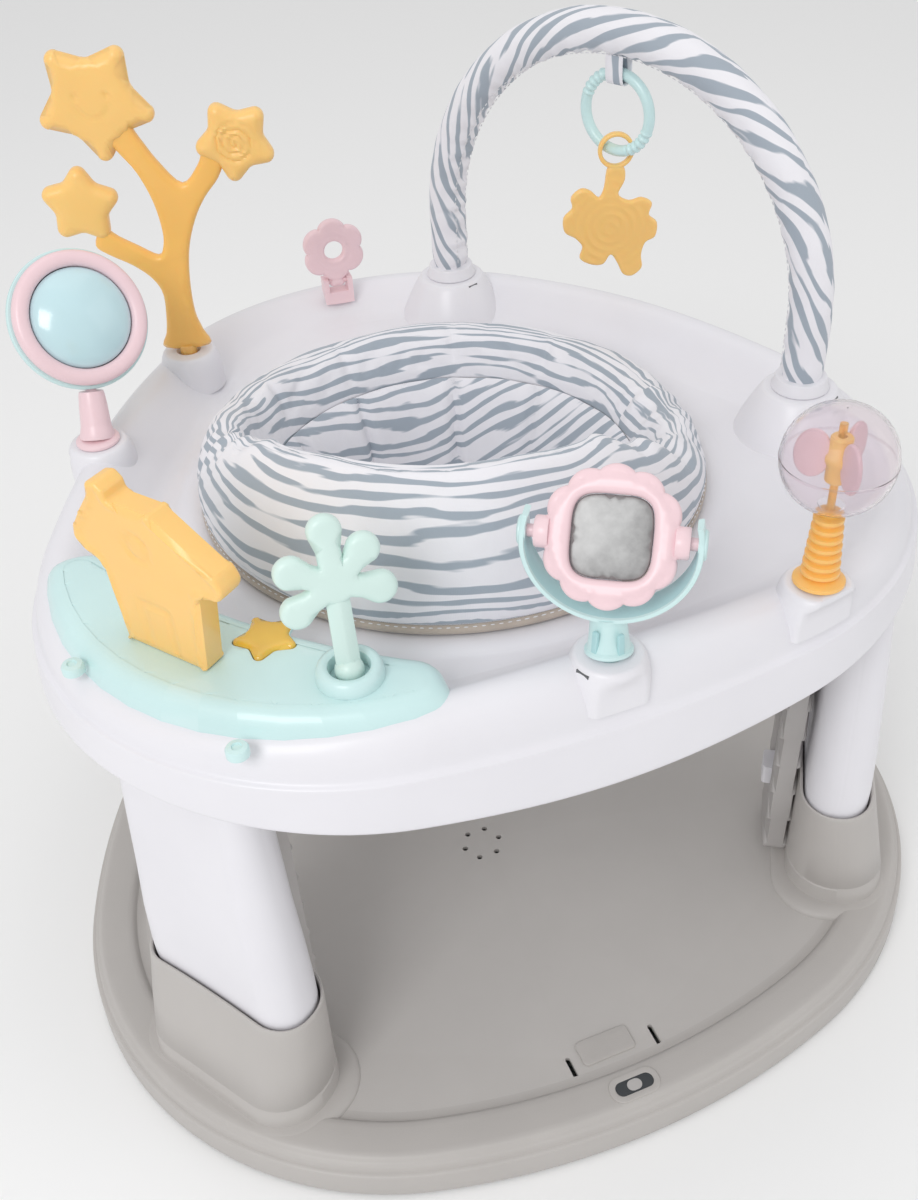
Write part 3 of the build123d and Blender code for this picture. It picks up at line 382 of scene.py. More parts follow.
def oblong_outline(depth, width, rounding):
    return [(p.x, p.y) for p in oblong(depth, width, rounding)]


print("a star's outline has", len(star_outline(50, 30, 54, 7)), "points")


# %% [markdown]
# One function makes every plate. It fills the outline with points, joins them by Delaunay triangulation,
# and lifts each point by how far it lies from the edge, so the rim is round and the face gently domed.
# A carve function presses grooves and dimples into the front.

# %% Plates with soft edges
def inside(points, loops):
    """Whether each point lies inside the loops, by the even-odd rule."""
    result = np.zeros(len(points), bool)
    x, y = points[:, 0:1], points[:, 1:2]
    for loop in loops:
        a = np.array(loop)
        b = np.roll(a, -1, axis=0)
        crosses = (a[None, :, 1] > y) != (b[None, :, 1] > y)
        rise = np.where(np.abs(b[:, 1] - a[:, 1]) < 1e-9, 1e-9, b[:, 1] - a[:, 1])
        meet = a[:, 0] + (y - a[None, :, 1]) * ((b[:, 0] - a[:, 0]) / rise)[None, :]
        result ^= (np.sum(crosses & (x < meet), axis=1) % 2).astype(bool)
    return result


def edge_distance(points, loops):
    """How far each point lies from the nearest edge of the loops."""
    best = np.full(len(points), 1e9)
    for loop in loops:
        a = np.array(loop)
        b = np.roll(a, -1, axis=0)
        run = b - a
        size = np.maximum((run**2).sum(1), 1e-12)
        share = ((points[:, None, :] - a[None]) * run[None]).sum(2) / size[None]
        nearest = a[None] + np.clip(share, 0, 1)[..., None] * run[None]
        best = np.minimum(best, np.sqrt(((points[:, None, :] - nearest)**2).sum(2)).min(1))
    return best


EDGE_SHARES = (0.05, 0.17, 0.35, 0.6, 1.0)     # where rows of points run in the rounded edge
ROW_ROOM = 0.93                                # a row's point stays this near its own distance from the edge
GRID_ROOM = 0.4                                # and the grid keeps this share of its spacing from the rows


def soft_plate(name, matrix, outer, thickness, rounding, holes=(), crown=0.0, spacing=3.0, carve=None,
               flat_back=False):
    """A closed plate with rounded edges; carve(x, y, distance from the edge) lowers its front."""
    loops = [outer, *holes]
    points, edges = [], []
    for loop in loops:
        start = len(points)
        points += [tuple(p) for p in loop]
        edges += [(start + k, start + (k + 1) % len(loop)) for k in range(len(loop))]
    extra = []
    for loop in loops:
        a = np.array(loop)
        run = np.roll(a, -1, axis=0) - np.roll(a, 1, axis=0)
        normal = np.stack([-run[:, 1], run[:, 0]], 1) / np.maximum(np.linalg.norm(run, axis=1), 1e-9)[:, None]
        for share in EDGE_SHARES:
            for sign in (1, -1):
                row = a + normal * sign * share * rounding
                keep = inside(row, loops) & (edge_distance(row, loops) > ROW_ROOM * share * rounding)
                extra += [tuple(p) for p in row[keep]]
    lows, highs = np.array(outer).min(0), np.array(outer).max(0)
    gx, gy = np.meshgrid(np.arange(lows[0], highs[0], spacing), np.arange(lows[1], highs[1], spacing))
    grid = np.stack([gx.ravel(), gy.ravel()], 1)
    grid = grid[inside(grid, loops)]
    extra += [tuple(p) for p in grid[edge_distance(grid, loops) > rounding + GRID_ROOM * spacing]]
    filled = geometry.delaunay_2d_cdt([Vector(p) for p in points + extra], edges, [], 0, 1e-4)
    flat = np.array([tuple(v) for v in filled[0]])
    triangles = np.array([t for t in filled[2] if len(t) == 3])
    triangles = triangles[inside(flat[triangles].mean(1), loops)]
    distance = edge_distance(flat, loops)
    deep = max(distance.max(), 1e-6)
    share = np.clip(distance / rounding, 0, 1)
    lift = thickness / 2 - rounding + rounding * np.sqrt(1 - (1 - share)**2)
    lift += crown * (1 - (1 - np.clip(distance / deep, 0, 1))**2)
    front = lift.copy()
    if carve is not None:
        front -= np.array([carve(x, y, d) for (x, y), d in zip(flat, distance)])
    back = np.full(len(flat), thickness / 2) if flat_back else lift
    count = len(flat)
    vertices = [matrix @ Vector((x, y, z)) for (x, y), z in zip(flat, front)]
    vertices += [matrix @ Vector((x, y, -z)) for (x, y), z in zip(flat, back)]
    faces = [tuple(int(i) for i in t) for t in triangles]
    faces += [tuple(int(i) + count for i in reversed(t)) for t in triangles]
    sides = {}                                 # every triangle's sides, in order; one without a twin is rim
    for t in triangles:
        for a, b in ((t[0], t[1]), (t[1], t[2]), (t[2], t[0])):
            sides[(int(a), int(b))] = True
    for a, b in sides:
        if (b, a) not in sides:
            faces.append((b, a, a + count, b + count))
    piece = new_mesh(name, vertices, faces, smooth_angle=50)
    close_seam(piece)
    face_outwards(piece)
    return piece


print("rows in a rounded edge:", len(EDGE_SHARES))


# %% [markdown]
# The moulded plastic has one make-up: a pastel colour with a faint cloudiness from the pigment, a slight
# orange-peel bump from the mould, and sharp edges painted lighter, partly as rubbed wear and partly as painted
# light through the thin wall.
# One function makes every colour of it, and each colour is named for what this toy uses it on.

# %% Moulded plastic
def frame_nodes(tree, label, members, x):
    """A labelled frame round the nodes of one effect, laid out in a column."""
    box = tree.nodes.new("NodeFrame")
    box.label = label
    for row, member in enumerate(members):
        member.parent = box
        member.location = (x, -260 * row)


def blank_material(name):
    material = bpy.data.materials.new(name)
    material.use_nodes = True
    material.node_tree.nodes.clear()
    return material


# edge sets how much lighter the sharp edges are painted: partly rubbed wear, partly painted light through thin
# walls.
def moulded_plastic(name, colour, rough=0.36, cloud=0.05, peel=0.05, coat=0.25, edge=0.12, glow=0.0):
    material = blank_material(name)
    tree = material.node_tree
    nodes, links = tree.nodes, tree.links
    place = nodes.new("ShaderNodeTexCoord")
    place.label = "Place on the piece"
    clouds = nodes.new("ShaderNodeTexNoise")
    clouds.label = "Cloudy pigment"
    clouds.inputs["Scale"].default_value = 14.0
    clouds.inputs["Detail"].default_value = 3.0
    shades = nodes.new("ShaderNodeValToRGB")
    shades.label = "Darker and lighter patches"
    low_end, high_end = shades.color_ramp.elements
    low_end.position = 0.3
    low_end.color = (*[c * (1 - cloud) for c in colour], 1)
    high_end.position = 0.75
    high_end.color = (*[min(1, c * (1 + cloud * 0.6)) for c in colour], 1)
    # Sharp edges painted lighter: partly rubbed wear, partly painted light showing through the thin wall.
    wear_and_painted_light = nodes.new("ShaderNodeNewGeometry")
    wear_and_painted_light.label = "Where the edges are"
    edges = nodes.new("ShaderNodeValToRGB")
    edges.label = "Only the sharp edges"
    low_end, high_end = edges.color_ramp.elements
    low_end.position = 0.52
    low_end.color = (0, 0, 0, 1)
    high_end.position = 0.62
    high_end.color = (edge, edge, edge, 1)
    paler_by_wear_and_painted_light = nodes.new("ShaderNodeMix")
    paler_by_wear_and_painted_light.label = "Rubbed edges are paler"
    paler_by_wear_and_painted_light.data_type = "RGBA"
    paler_by_wear_and_painted_light.inputs[7].default_value = (*[c + (1 - c) * 0.55 for c in colour], 1)
    handled = nodes.new("ShaderNodeTexNoise")
    handled.label = "Handling marks"
    handled.inputs["Scale"].default_value = 38.0
    handled.inputs["Detail"].default_value = 6.0
    gloss = nodes.new("ShaderNodeMapRange")
    gloss.label = "Uneven gloss"
    gloss.inputs["To Min"].default_value = rough - 0.05
    gloss.inputs["To Max"].default_value = rough + 0.09
    grain = nodes.new("ShaderNodeTexNoise")
    grain.label = "Orange peel of the mould"
    grain.inputs["Scale"].default_value = 620.0
    grain.inputs["Detail"].default_value = 2.0
    dents = nodes.new("ShaderNodeBump")
    dents.label = "Fine surface relief"
    dents.inputs["Strength"].default_value = peel
    dents.inputs["Distance"].default_value = 0.0006
    shader = nodes.new("ShaderNodeBsdfPrincipled")
    shader.label = "Moulded plastic"
    shader.inputs["IOR"].default_value = 1.49
    shader.inputs["Coat Weight"].default_value = coat
    shader.inputs["Coat Roughness"].default_value = 0.18
    shader.inputs["Subsurface Weight"].default_value = glow
    shader.inputs["Subsurface Scale"].default_value = 0.004
    surface = nodes.new("ShaderNodeOutputMaterial")
    surface.label = "Surface"
    frame_nodes(tree, "Where", [place], -1500)
    frame_nodes(tree, "Pigment", [clouds, shades], -1200)
    frame_nodes(tree, "Edge wear", [wear_and_painted_light, edges, paler_by_wear_and_painted_light], -850)
    frame_nodes(tree, "Gloss", [handled, gloss], -500)
    frame_nodes(tree, "Relief", [grain, dents], -200)
    shader.location = (150, 0)
    surface.location = (450, 0)
    links.new(place.outputs["Object"], clouds.inputs["Vector"])
    links.new(place.outputs["Object"], handled.inputs["Vector"])
    links.new(place.outputs["Object"], grain.inputs["Vector"])
    links.new(clouds.outputs["Fac"], shades.inputs["Fac"])
    links.new(wear_and_painted_light.outputs["Pointiness"], edges.inputs["Fac"])
    links.new(edges.outputs["Color"], paler_by_wear_and_painted_light.inputs[0])
    links.new(shades.outputs["Color"], paler_by_wear_and_painted_light.inputs[6])
    links.new(paler_by_wear_and_painted_light.outputs[2], shader.inputs["Base Color"])
    links.new(handled.outputs["Fac"], gloss.inputs["Value"])
    links.new(gloss.outputs["Result"], shader.inputs["Roughness"])
    links.new(grain.outputs["Fac"], dents.inputs["Height"])
    links.new(dents.outputs["Normal"], shader.inputs["Normal"])
    links.new(shader.outputs["BSDF"], surface.inputs["Surface"])
    return material


# %% Colours of the plastic
WHITE = moulded_plastic("white_tray_plastic", (0.80, 0.79, 0.83), rough=0.4, cloud=0.02, coat=0.2)
BASE_GREY = moulded_plastic("grey_base_plastic", (0.50, 0.475, 0.455), rough=0.5, cloud=0.03, peel=0.1,
                            coat=0.05)
FLOOR_GREY = moulded_plastic("grey_floor_plastic", (0.52, 0.495, 0.475), rough=0.52, cloud=0.03, peel=0.1,
                             coat=0.05)
AQUA = moulded_plastic("aqua_plastic", (0.60, 0.81, 0.81), rough=0.33, coat=0.35)
# A darker aqua, used only as painted shade inside the mirror's yoke and in its neck slots.
AQUA_PAINTED_SHADE = moulded_plastic("aqua_painted_shade_plastic", (0.42, 0.68, 0.70), rough=0.35, coat=0.3)
DOME_BLUE = moulded_plastic("glossy_dome_plastic", (0.56, 0.77, 0.82), rough=0.14, peel=0.01, coat=0.8)
MINT = moulded_plastic("mint_plastic", (0.66, 0.83, 0.78), rough=0.4)
PINK = moulded_plastic("pink_plastic", (0.88, 0.65, 0.69), rough=0.38)
YELLOW = moulded_plastic("yellow_plastic", (0.97, 0.54, 0.13), rough=0.3, cloud=0.05, glow=0.15)
HONEY = moulded_plastic("honey_plastic", (0.98, 0.60, 0.19), rough=0.36, cloud=0.04, glow=0.15)
MUSTARD = moulded_plastic("mustard_plastic", (0.80, 0.50, 0.06), rough=0.16, cloud=0.2, coat=0.7, glow=0.2)
# Near-black plastic for the dark parts; the switch well uses it as painted shade.
DARK_PLASTIC_AND_SHADE = moulded_plastic("dark_plastic_and_painted_shade", (0.05, 0.055, 0.06), rough=0.55, coat=0.0)
POST_GREY = moulded_plastic("grey_post_plastic", (0.47, 0.45, 0.44), rough=0.5, peel=0.08, coat=0.05)
RUBBER = moulded_plastic("foot_rubber", (0.03, 0.03, 0.03), rough=0.8, peel=0.2, coat=0.0)
BOARD_GREEN = moulded_plastic("board_lacquer", (0.02, 0.16, 0.07), rough=0.3)
print(len(bpy.data.materials), "plastics, each of", len(WHITE.node_tree.nodes), "nodes")


# %% [markdown]
# The printed fabric is white cotton with blue-grey zebra stripes. The stripes run along the piece and
# swell, taper and fork. Two noises make them: one bends the bands, the other shifts the threshold so that
# a band gets thicker or dies out. They read the piece's own UV map, whose unit is a metre of cloth.

# %% Striped fabric
def striped_fabric(name, pitch, turn=0.0, ink=(0.37, 0.42, 0.48), paper=(0.84, 0.83, 0.87), bend=0.024):
    material = blank_material(name)
    tree = material.node_tree
    nodes, links = tree.nodes, tree.links
    cloth = nodes.new("ShaderNodeUVMap")
    cloth.label = "Place on the cloth"
    cloth.uv_map = "surface"
    turned_cloth = nodes.new("ShaderNodeMapping")
    turned_cloth.label = "Turn the stripes"
    turned_cloth.inputs["Rotation"].default_value = (0, 0, radians(turn))
    long_map = nodes.new("ShaderNodeMapping")
    long_map.label = "Stretch along the stripe"
    long_map.inputs["Scale"].default_value = (9.0, 22.0, 1.0)
    bend_noise = nodes.new("ShaderNodeTexNoise")
    bend_noise.label = "Bend of the bands"
    bend_noise.inputs["Scale"].default_value = 1.0
    bend_noise.inputs["Detail"].default_value = 1.5
    short_map = nodes.new("ShaderNodeMapping")
    short_map.label = "Stretch of the swellings"
    short_map.inputs["Location"].default_value = (3.1, 7.7, 0.0)
    short_map.inputs["Scale"].default_value = (17.0, 95.0, 1.0)
    swell_noise = nodes.new("ShaderNodeTexNoise")
    swell_noise.label = "Swell and taper"
    swell_noise.inputs["Scale"].default_value = 1.0
    swell_noise.inputs["Detail"].default_value = 2.0
    split = nodes.new("ShaderNodeSeparateXYZ")
    split.label = "Across the stripes"
    shift = nodes.new("ShaderNodeMath")
    shift.label = "How far a band bends"
    shift.operation = "MULTIPLY_ADD"
    shift.inputs[1].default_value = bend * 2
    phase = nodes.new("ShaderNodeMath")
    phase.label = "Bands at their pitch"
    phase.operation = "MULTIPLY"
    phase.inputs[1].default_value = 2 * pi / pitch
    wave = nodes.new("ShaderNodeMath")
    wave.label = "Dark and light in turn"
    wave.operation = "SINE"
    swell = nodes.new("ShaderNodeMath")
    swell.label = "Thicker here, gone there"
    swell.operation = "MULTIPLY_ADD"
    swell.inputs[1].default_value = 5.0
    edge = nodes.new("ShaderNodeValToRGB")
    edge.label = "Ink on cotton"
    low_end, high_end = edge.color_ramp.elements
    low_end.position = 0.56
    low_end.color = (*paper, 1)
    high_end.position = 0.62
    high_end.color = (*ink, 1)
    level = nodes.new("ShaderNodeMapRange")
    level.label = "To a share"
    level.inputs["From Min"].default_value = -0.6
    level.inputs["From Max"].default_value = 5.2
    weft = nodes.new("ShaderNodeTexWave")
    weft.label = "Threads one way"
    weft.bands_direction = "X"
    weft.inputs["Scale"].default_value = 330.0
    weft.inputs["Distortion"].default_value = 0.6
    warp = nodes.new("ShaderNodeTexWave")
    warp.label = "Threads the other way"
    warp.bands_direction = "Y"
    warp.inputs["Scale"].default_value = 330.0
    warp.inputs["Distortion"].default_value = 0.6
    weave = nodes.new("ShaderNodeMath")
    weave.label = "Woven together"
    weave.operation = "MAXIMUM"
    crumple = nodes.new("ShaderNodeTexNoise")
    crumple.label = "Small creases"
    crumple.inputs["Scale"].default_value = 55.0
    crumple.inputs["Detail"].default_value = 3.0
    crumple.inputs["Distortion"].default_value = 0.8
    thread_bump = nodes.new("ShaderNodeBump")
    thread_bump.label = "Thread relief"
    thread_bump.inputs["Strength"].default_value = 0.25
    thread_bump.inputs["Distance"].default_value = 0.0003
    crease_bump = nodes.new("ShaderNodeBump")
    crease_bump.label = "Crease relief"
    crease_bump.inputs["Strength"].default_value = 0.35
    crease_bump.inputs["Distance"].default_value = 0.002
    shader = nodes.new("ShaderNodeBsdfPrincipled")
    shader.label = "Cotton"
    shader.inputs["Roughness"].default_value = 0.85
    shader.inputs["Sheen Weight"].default_value = 0.25
    shader.inputs["Sheen Roughness"].default_value = 0.5
    shader.inputs["Specular IOR Level"].default_value = 0.25
    surface = nodes.new("ShaderNodeOutputMaterial")
    surface.label = "Surface"
    frame_nodes(tree, "Where", [cloth, turned_cloth], -2000)
    frame_nodes(tree, "Bent bands", [long_map, bend_noise, split, shift, phase, wave], -1650)
    frame_nodes(tree, "Swelling", [short_map, swell_noise, swell, level, edge], -1250)
    frame_nodes(tree, "Weave", [weft, warp, weave, thread_bump], -850)
    frame_nodes(tree, "Creases", [crumple, crease_bump], -450)
    shader.location = (-50, 0)
    surface.location = (250, 0)
    links.new(cloth.outputs["UV"], turned_cloth.inputs["Vector"])
    links.new(turned_cloth.outputs["Vector"], long_map.inputs["Vector"])
    links.new(long_map.outputs["Vector"], bend_noise.inputs["Vector"])
    links.new(turned_cloth.outputs["Vector"], split.inputs["Vector"])
    links.new(bend_noise.outputs["Fac"], shift.inputs[0])
    links.new(split.outputs["Y"], shift.inputs[2])
    links.new(shift.outputs["Value"], phase.inputs[0])
    links.new(phase.outputs["Value"], wave.inputs[0])
    links.new(turned_cloth.outputs["Vector"], short_map.inputs["Vector"])
    links.new(short_map.outputs["Vector"], swell_noise.inputs["Vector"])
    links.new(swell_noise.outputs["Fac"], swell.inputs[0])
    links.new(wave.outputs["Value"], swell.inputs[2])
    links.new(swell.outputs["Value"], level.inputs["Value"])
    links.new(level.outputs["Result"], edge.inputs["Fac"])
    links.new(edge.outputs["Color"], shader.inputs["Base Color"])
    links.new(cloth.outputs["UV"], weft.inputs["Vector"])
    links.new(cloth.outputs["UV"], warp.inputs["Vector"])
    links.new(weft.outputs["Fac"], weave.inputs[0])
    links.new(warp.outputs["Fac"], weave.inputs[1])
    links.new(cloth.outputs["UV"], crumple.inputs["Vector"])
    links.new(weave.outputs["Value"], thread_bump.inputs["Height"])
    links.new(crumple.outputs["Fac"], crease_bump.inputs["Height"])
    links.new(thread_bump.outputs["Normal"], crease_bump.inputs["Normal"])
    links.new(crease_bump.outputs["Normal"], shader.inputs["Normal"])
    links.new(shader.outputs["BSDF"], surface.inputs["Surface"])
    return material


ZEBRA_SEAT = striped_fabric("zebra_seat_cotton", pitch=0.0150)
ZEBRA_SLEEVE = striped_fabric("zebra_sleeve_cotton", pitch=0.0135, turn=28)
ZEBRA_STRAP = striped_fabric("zebra_strap_cotton", pitch=0.011, turn=90, bend=0.004)
print("striped fabric of", len(ZEBRA_SEAT.node_tree.nodes), "nodes")


# %% [markdown]
# The piping and the stitches are plain woven cloth and thread. Their weave is small enough to come from
# Object coordinates.

# %% Plain cloth
def plain_cloth(name, colour, threads=900.0):
    material = blank_material(name)
    tree = material.node_tree
    nodes, links = tree.nodes, tree.links
    place = nodes.new("ShaderNodeTexCoord")
    place.label = "Place on the piece"
    fade = nodes.new("ShaderNodeTexNoise")
    fade.label = "Uneven dye"
    fade.inputs["Scale"].default_value = 45.0
    fade.inputs["Detail"].default_value = 4.0
    dye = nodes.new("ShaderNodeValToRGB")
    dye.label = "Dye"
    low_end, high_end = dye.color_ramp.elements
    low_end.position = 0.3
    low_end.color = (*[c * 0.86 for c in colour], 1)
    high_end.position = 0.7
    high_end.color = (*[min(1, c * 1.06) for c in colour], 1)
    threads_noise = nodes.new("ShaderNodeTexVoronoi")
    threads_noise.label = "Threads"
    threads_noise.inputs["Scale"].default_value = threads
    relief = nodes.new("ShaderNodeBump")
    relief.label = "Thread relief"
    relief.inputs["Strength"].default_value = 0.4
    relief.inputs["Distance"].default_value = 0.0005
    shader = nodes.new("ShaderNodeBsdfPrincipled")
    shader.label = "Cloth"
    shader.inputs["Roughness"].default_value = 0.9
    shader.inputs["Sheen Weight"].default_value = 0.3
    surface = nodes.new("ShaderNodeOutputMaterial")
    surface.label = "Surface"
    frame_nodes(tree, "Where", [place], -900)
    frame_nodes(tree, "Dye", [fade, dye], -650)
    frame_nodes(tree, "Weave", [threads_noise, relief], -350)
    surface.location = (300, 0)
    links.new(place.outputs["Object"], fade.inputs["Vector"])
    links.new(place.outputs["Object"], threads_noise.inputs["Vector"])
    links.new(fade.outputs["Fac"], dye.inputs["Fac"])
    links.new(dye.outputs["Color"], shader.inputs["Base Color"])
    links.new(threads_noise.outputs["Distance"], relief.inputs["Height"])
    links.new(relief.outputs["Normal"], shader.inputs["Normal"])
    links.new(shader.outputs["BSDF"], surface.inputs["Surface"])
    return material


PIPING = plain_cloth("beige_piping", (0.50, 0.43, 0.37))
THREAD = plain_cloth("white_thread", (0.80, 0.80, 0.82), threads=2400.0)
print("plain cloth of", len(PIPING.node_tree.nodes), "nodes")


# %% [markdown]
# Three finishes are smooth and bright: the steel of the springs, the film of the safety mirror and the clear
# shell of the ball. They share one make-up, with a mottled tint and a slightly smeared gloss.

# %% Steel, mirror film and clear shell
def polished(name, colour, metal=1.0, rough=0.25, clear=0.0, speckle=0.0):
    """Steel wire, mirror film or a clear shell; speckle mottles the surface."""
    material = blank_material(name)
    tree = material.node_tree
    nodes, links = tree.nodes, tree.links
    place = nodes.new("ShaderNodeTexCoord")
    place.label = "Place on the piece"
    mottle = nodes.new("ShaderNodeTexNoise")
    mottle.label = "Mottled surface"
    mottle.inputs["Scale"].default_value = 160.0
    mottle.inputs["Detail"].default_value = 5.0
    tint = nodes.new("ShaderNodeValToRGB")
    tint.label = "Mottled tint"
    low_end, high_end = tint.color_ramp.elements
    low_end.position = 0.35
    low_end.color = (*[c * (1 - speckle) for c in colour], 1)
    high_end.position = 0.65
    high_end.color = (*[min(1, c * (1 + speckle)) for c in colour], 1)
    smear = nodes.new("ShaderNodeMapRange")
    smear.label = "Smeared gloss"
    smear.inputs["To Min"].default_value = rough
    smear.inputs["To Max"].default_value = rough + 0.12
    shader = nodes.new("ShaderNodeBsdfPrincipled")
    shader.label = "Polished surface"
    shader.inputs["Metallic"].default_value = metal
    shader.inputs["Transmission Weight"].default_value = clear
    shader.inputs["IOR"].default_value = 1.2 if clear else 1.5
    surface = nodes.new("ShaderNodeOutputMaterial")
    surface.label = "Surface"
    frame_nodes(tree, "Where", [place], -900)
    frame_nodes(tree, "Mottle", [mottle, tint, smear], -600)
    surface.location = (300, 0)
    links.new(place.outputs["Object"], mottle.inputs["Vector"])
    links.new(mottle.outputs["Fac"], tint.inputs["Fac"])
    links.new(mottle.outputs["Fac"], smear.inputs["Value"])
    links.new(tint.outputs["Color"], shader.inputs["Base Color"])
    links.new(smear.outputs["Result"], shader.inputs["Roughness"])
    links.new(shader.outputs["BSDF"], surface.inputs["Surface"])
    return material


STEEL = polished("zinc_steel", (0.62, 0.62, 0.64), rough=0.3, speckle=0.08)
MIRROR = polished("mirror_film", (0.30, 0.30, 0.30), metal=0.35, rough=0.3, speckle=0.12)
CLEAR = polished("clear_shell", (0.97, 0.93, 0.95), metal=0.0, rough=0.03, clear=0.97)
print("polished finishes of", len(STEEL.node_tree.nodes), "nodes")


# %% [markdown]
# The camera stands in front and a little to the left, looking down on the tray. Its three directions are
# given as vectors, so its turn needs no angles.

# %% Camera
CAMERA_AT = Vector((-0.2835, -0.7929, 0.9602))
CAMERA_RIGHT = Vector((0.92631, -0.37371, -0.04794))
CAMERA_UP = Vector((0.27289, 0.57774, 0.76925))
camera_data = bpy.data.cameras.new("camera")
camera_data.lens = 37.55
camera_data.sensor_width = 36.0
camera = linked("camera", camera_data)
camera.matrix_world = placed(CAMERA_AT, CAMERA_RIGHT, CAMERA_UP, CAMERA_RIGHT.cross(CAMERA_UP))
scene.camera = camera

print("camera at", CAMERA_AT, "with a lens of", camera_data.lens)


# %% [markdown]
# The floor is one large plate in matt white paint, a hair below the rubber feet.

# %% Studio floor
FLOOR_HALF, FLOOR_AT = 12.0, -0.0005           # metres
floor_mesh = bpy.data.meshes.new("studio_floor")
floor_mesh.from_pydata([(sx * FLOOR_HALF, sy * FLOOR_HALF, FLOOR_AT) for sx, sy in
                        ((-1, -1), (1, -1), (1, 1), (-1, 1))], [], [(0, 1, 2, 3)])
floor = linked("studio_floor", floor_mesh)
floor_paint = blank_material("studio_floor_paint")
floor_tree = floor_paint.node_tree
matt = floor_tree.nodes.new("ShaderNodeBsdfPrincipled")
matt.label = "Matt white paint"
matt.inputs["Base Color"].default_value = (0.93, 0.93, 0.93, 1)
matt.inputs["Roughness"].default_value = 0.9
floor_surface = floor_tree.nodes.new("ShaderNodeOutputMaterial")
floor_surface.label = "Surface"
floor_surface.location = (300, 0)
floor_tree.links.new(matt.outputs["BSDF"], floor_surface.inputs["Surface"])
floor_mesh.materials.append(floor_paint)
print("floor of", 2 * FLOOR_HALF, "m a side")


# %% [markdown]
# One large key light at the left shapes the pieces. A weak fill and a top light open the shadows, and a
# bright white world gives the even look of a product picture.

# %% Lights
def soft_light(name, place, target, size, power):
    lamp = bpy.data.lights.new(name, "AREA")
    lamp.size = size
    lamp.energy = power
    light = linked(name, lamp)
    away = (Vector(place) - Vector(target)).normalized()
    side = up(1).cross(away).normalized()
    light.matrix_world = placed(place, side, away.cross(side), away)


LIT_POINT = (0, 0, 0.3)
soft_light("key_light", (-1.5, -1.5, 2.1), LIT_POINT, size=1.1, power=23)
soft_light("fill_light", (2.0, -1.1, 1.5), LIT_POINT, size=1.8, power=4)
soft_light("top_light", (0.2, 0.6, 2.6), LIT_POINT, size=2.0, power=5)
world = bpy.data.worlds.new("studio_world")
scene.world = world
world.use_nodes = True
world.node_tree.nodes["Background"].inputs["Color"].default_value = (1, 1, 1, 1)
world.node_tree.nodes["Background"].inputs["Strength"].default_value = 0.72
scene.view_settings.view_transform = "Standard"
print(len(bpy.data.lights), "lights")


# %% [markdown]
# The tray is one blow-moulded white shell. Its outline is a rounded triangle of three corner arcs and three
# flatter side arcs. First the outline: each of its columns knows its arc's centre, the arc's radius and
# the way out, so that a ring can be drawn at any inset from it.

# %% Outline of a rounded triangle
CORNER_STEPS, SIDE_STEPS = 48, 24
DISH_INSET = 78.0                              # where the flat dish begins, in from the outline


def outline_columns(centre, corner_offset, corner_round, side_round):
    """(arc centre, arc radius, outward direction) at each step round a rounded triangle."""
    reach = side_round - corner_round
    across = corner_offset * sin(radians(60))
    back = sqrt(reach**2 - across**2) - corner_offset * cos(radians(60))
    columns = []
    for corner in (90, 210, 330):
        arc_centre = Vector(centre) + polar(corner_offset, corner)
        side_arc_centre = Vector(centre) + polar(back, corner + 240)
        towards = arc_centre - side_arc_centre
        half = degrees(atan2(towards.y, towards.x)) - corner
        half = abs((half + 180) % 360 - 180)
        for k in range(CORNER_STEPS):
            columns.append((arc_centre, corner_round, polar(1, corner - half + 2 * half * k / CORNER_STEPS)))
        side_half = 60 - half
        for k in range(SIDE_STEPS):
            columns.append((side_arc_centre, side_round,
                            polar(1, corner + half + 2 * side_half * k / SIDE_STEPS)))
    return columns


def outline_ring(columns, inset, height, centre=None, lift=0.0):
    """A ring at an inset; lift waves it up at the three corners and down between them."""
    ring = []
    for arc_centre, radius, out in columns:
        point = arc_centre + out * (radius - inset)
        wave = 0.0
        if centre is not None:
            azimuth = atan2(point.y - centre.y, point.x - centre.x)
            wave = cos(3 * (azimuth - pi / 2)) * lift
        ring.append(Vector((point.x, point.y, height + wave)))
    return ring


def circle_ring(columns, radius, height, centre):
    """A circle whose points lie on the same bearings as the columns."""
    ring = []
    for arc_centre, arc_radius, out in columns:
        point = arc_centre + out * (arc_radius - DISH_INSET) - centre
        ring.append(centre + Vector((point.x, point.y, 0)).normalized() * radius + up(height))
    return ring


def along_section(section, steps=3):
    """A smooth open curve through a section's points."""
    result = []
    ends = [section[0], *section, section[-1]]
    for k in range(1, len(ends) - 2):
        p0, p1, p2, p3 = (Vector(ends[k + j]) for j in (-1, 0, 1, 2))
        for step in range(steps):
            t = step / steps
            result.append(0.5 * (2 * p1 + (p2 - p0) * t + (2 * p0 - 5 * p1 + 4 * p2 - p3) * t * t
                                 + (3 * p1 - p0 - 3 * p2 + p3) * t**3))
    result.append(Vector(section[-1]))
    return result


tray_columns = outline_columns(tray_centre, corner_offset=127, corner_round=233, side_round=1042)
print("tray outline of", len(tray_columns), "columns")


# %% [markdown]
# The wall keeps one section all the way round: a hanging skirt with a bead, a rounded rim, a high crest, and
# a dish round the seat. So the section is lofted along the outline. The rim waves: the crest is lowest at
# the three corners, and the skirt's lower edge rises there.

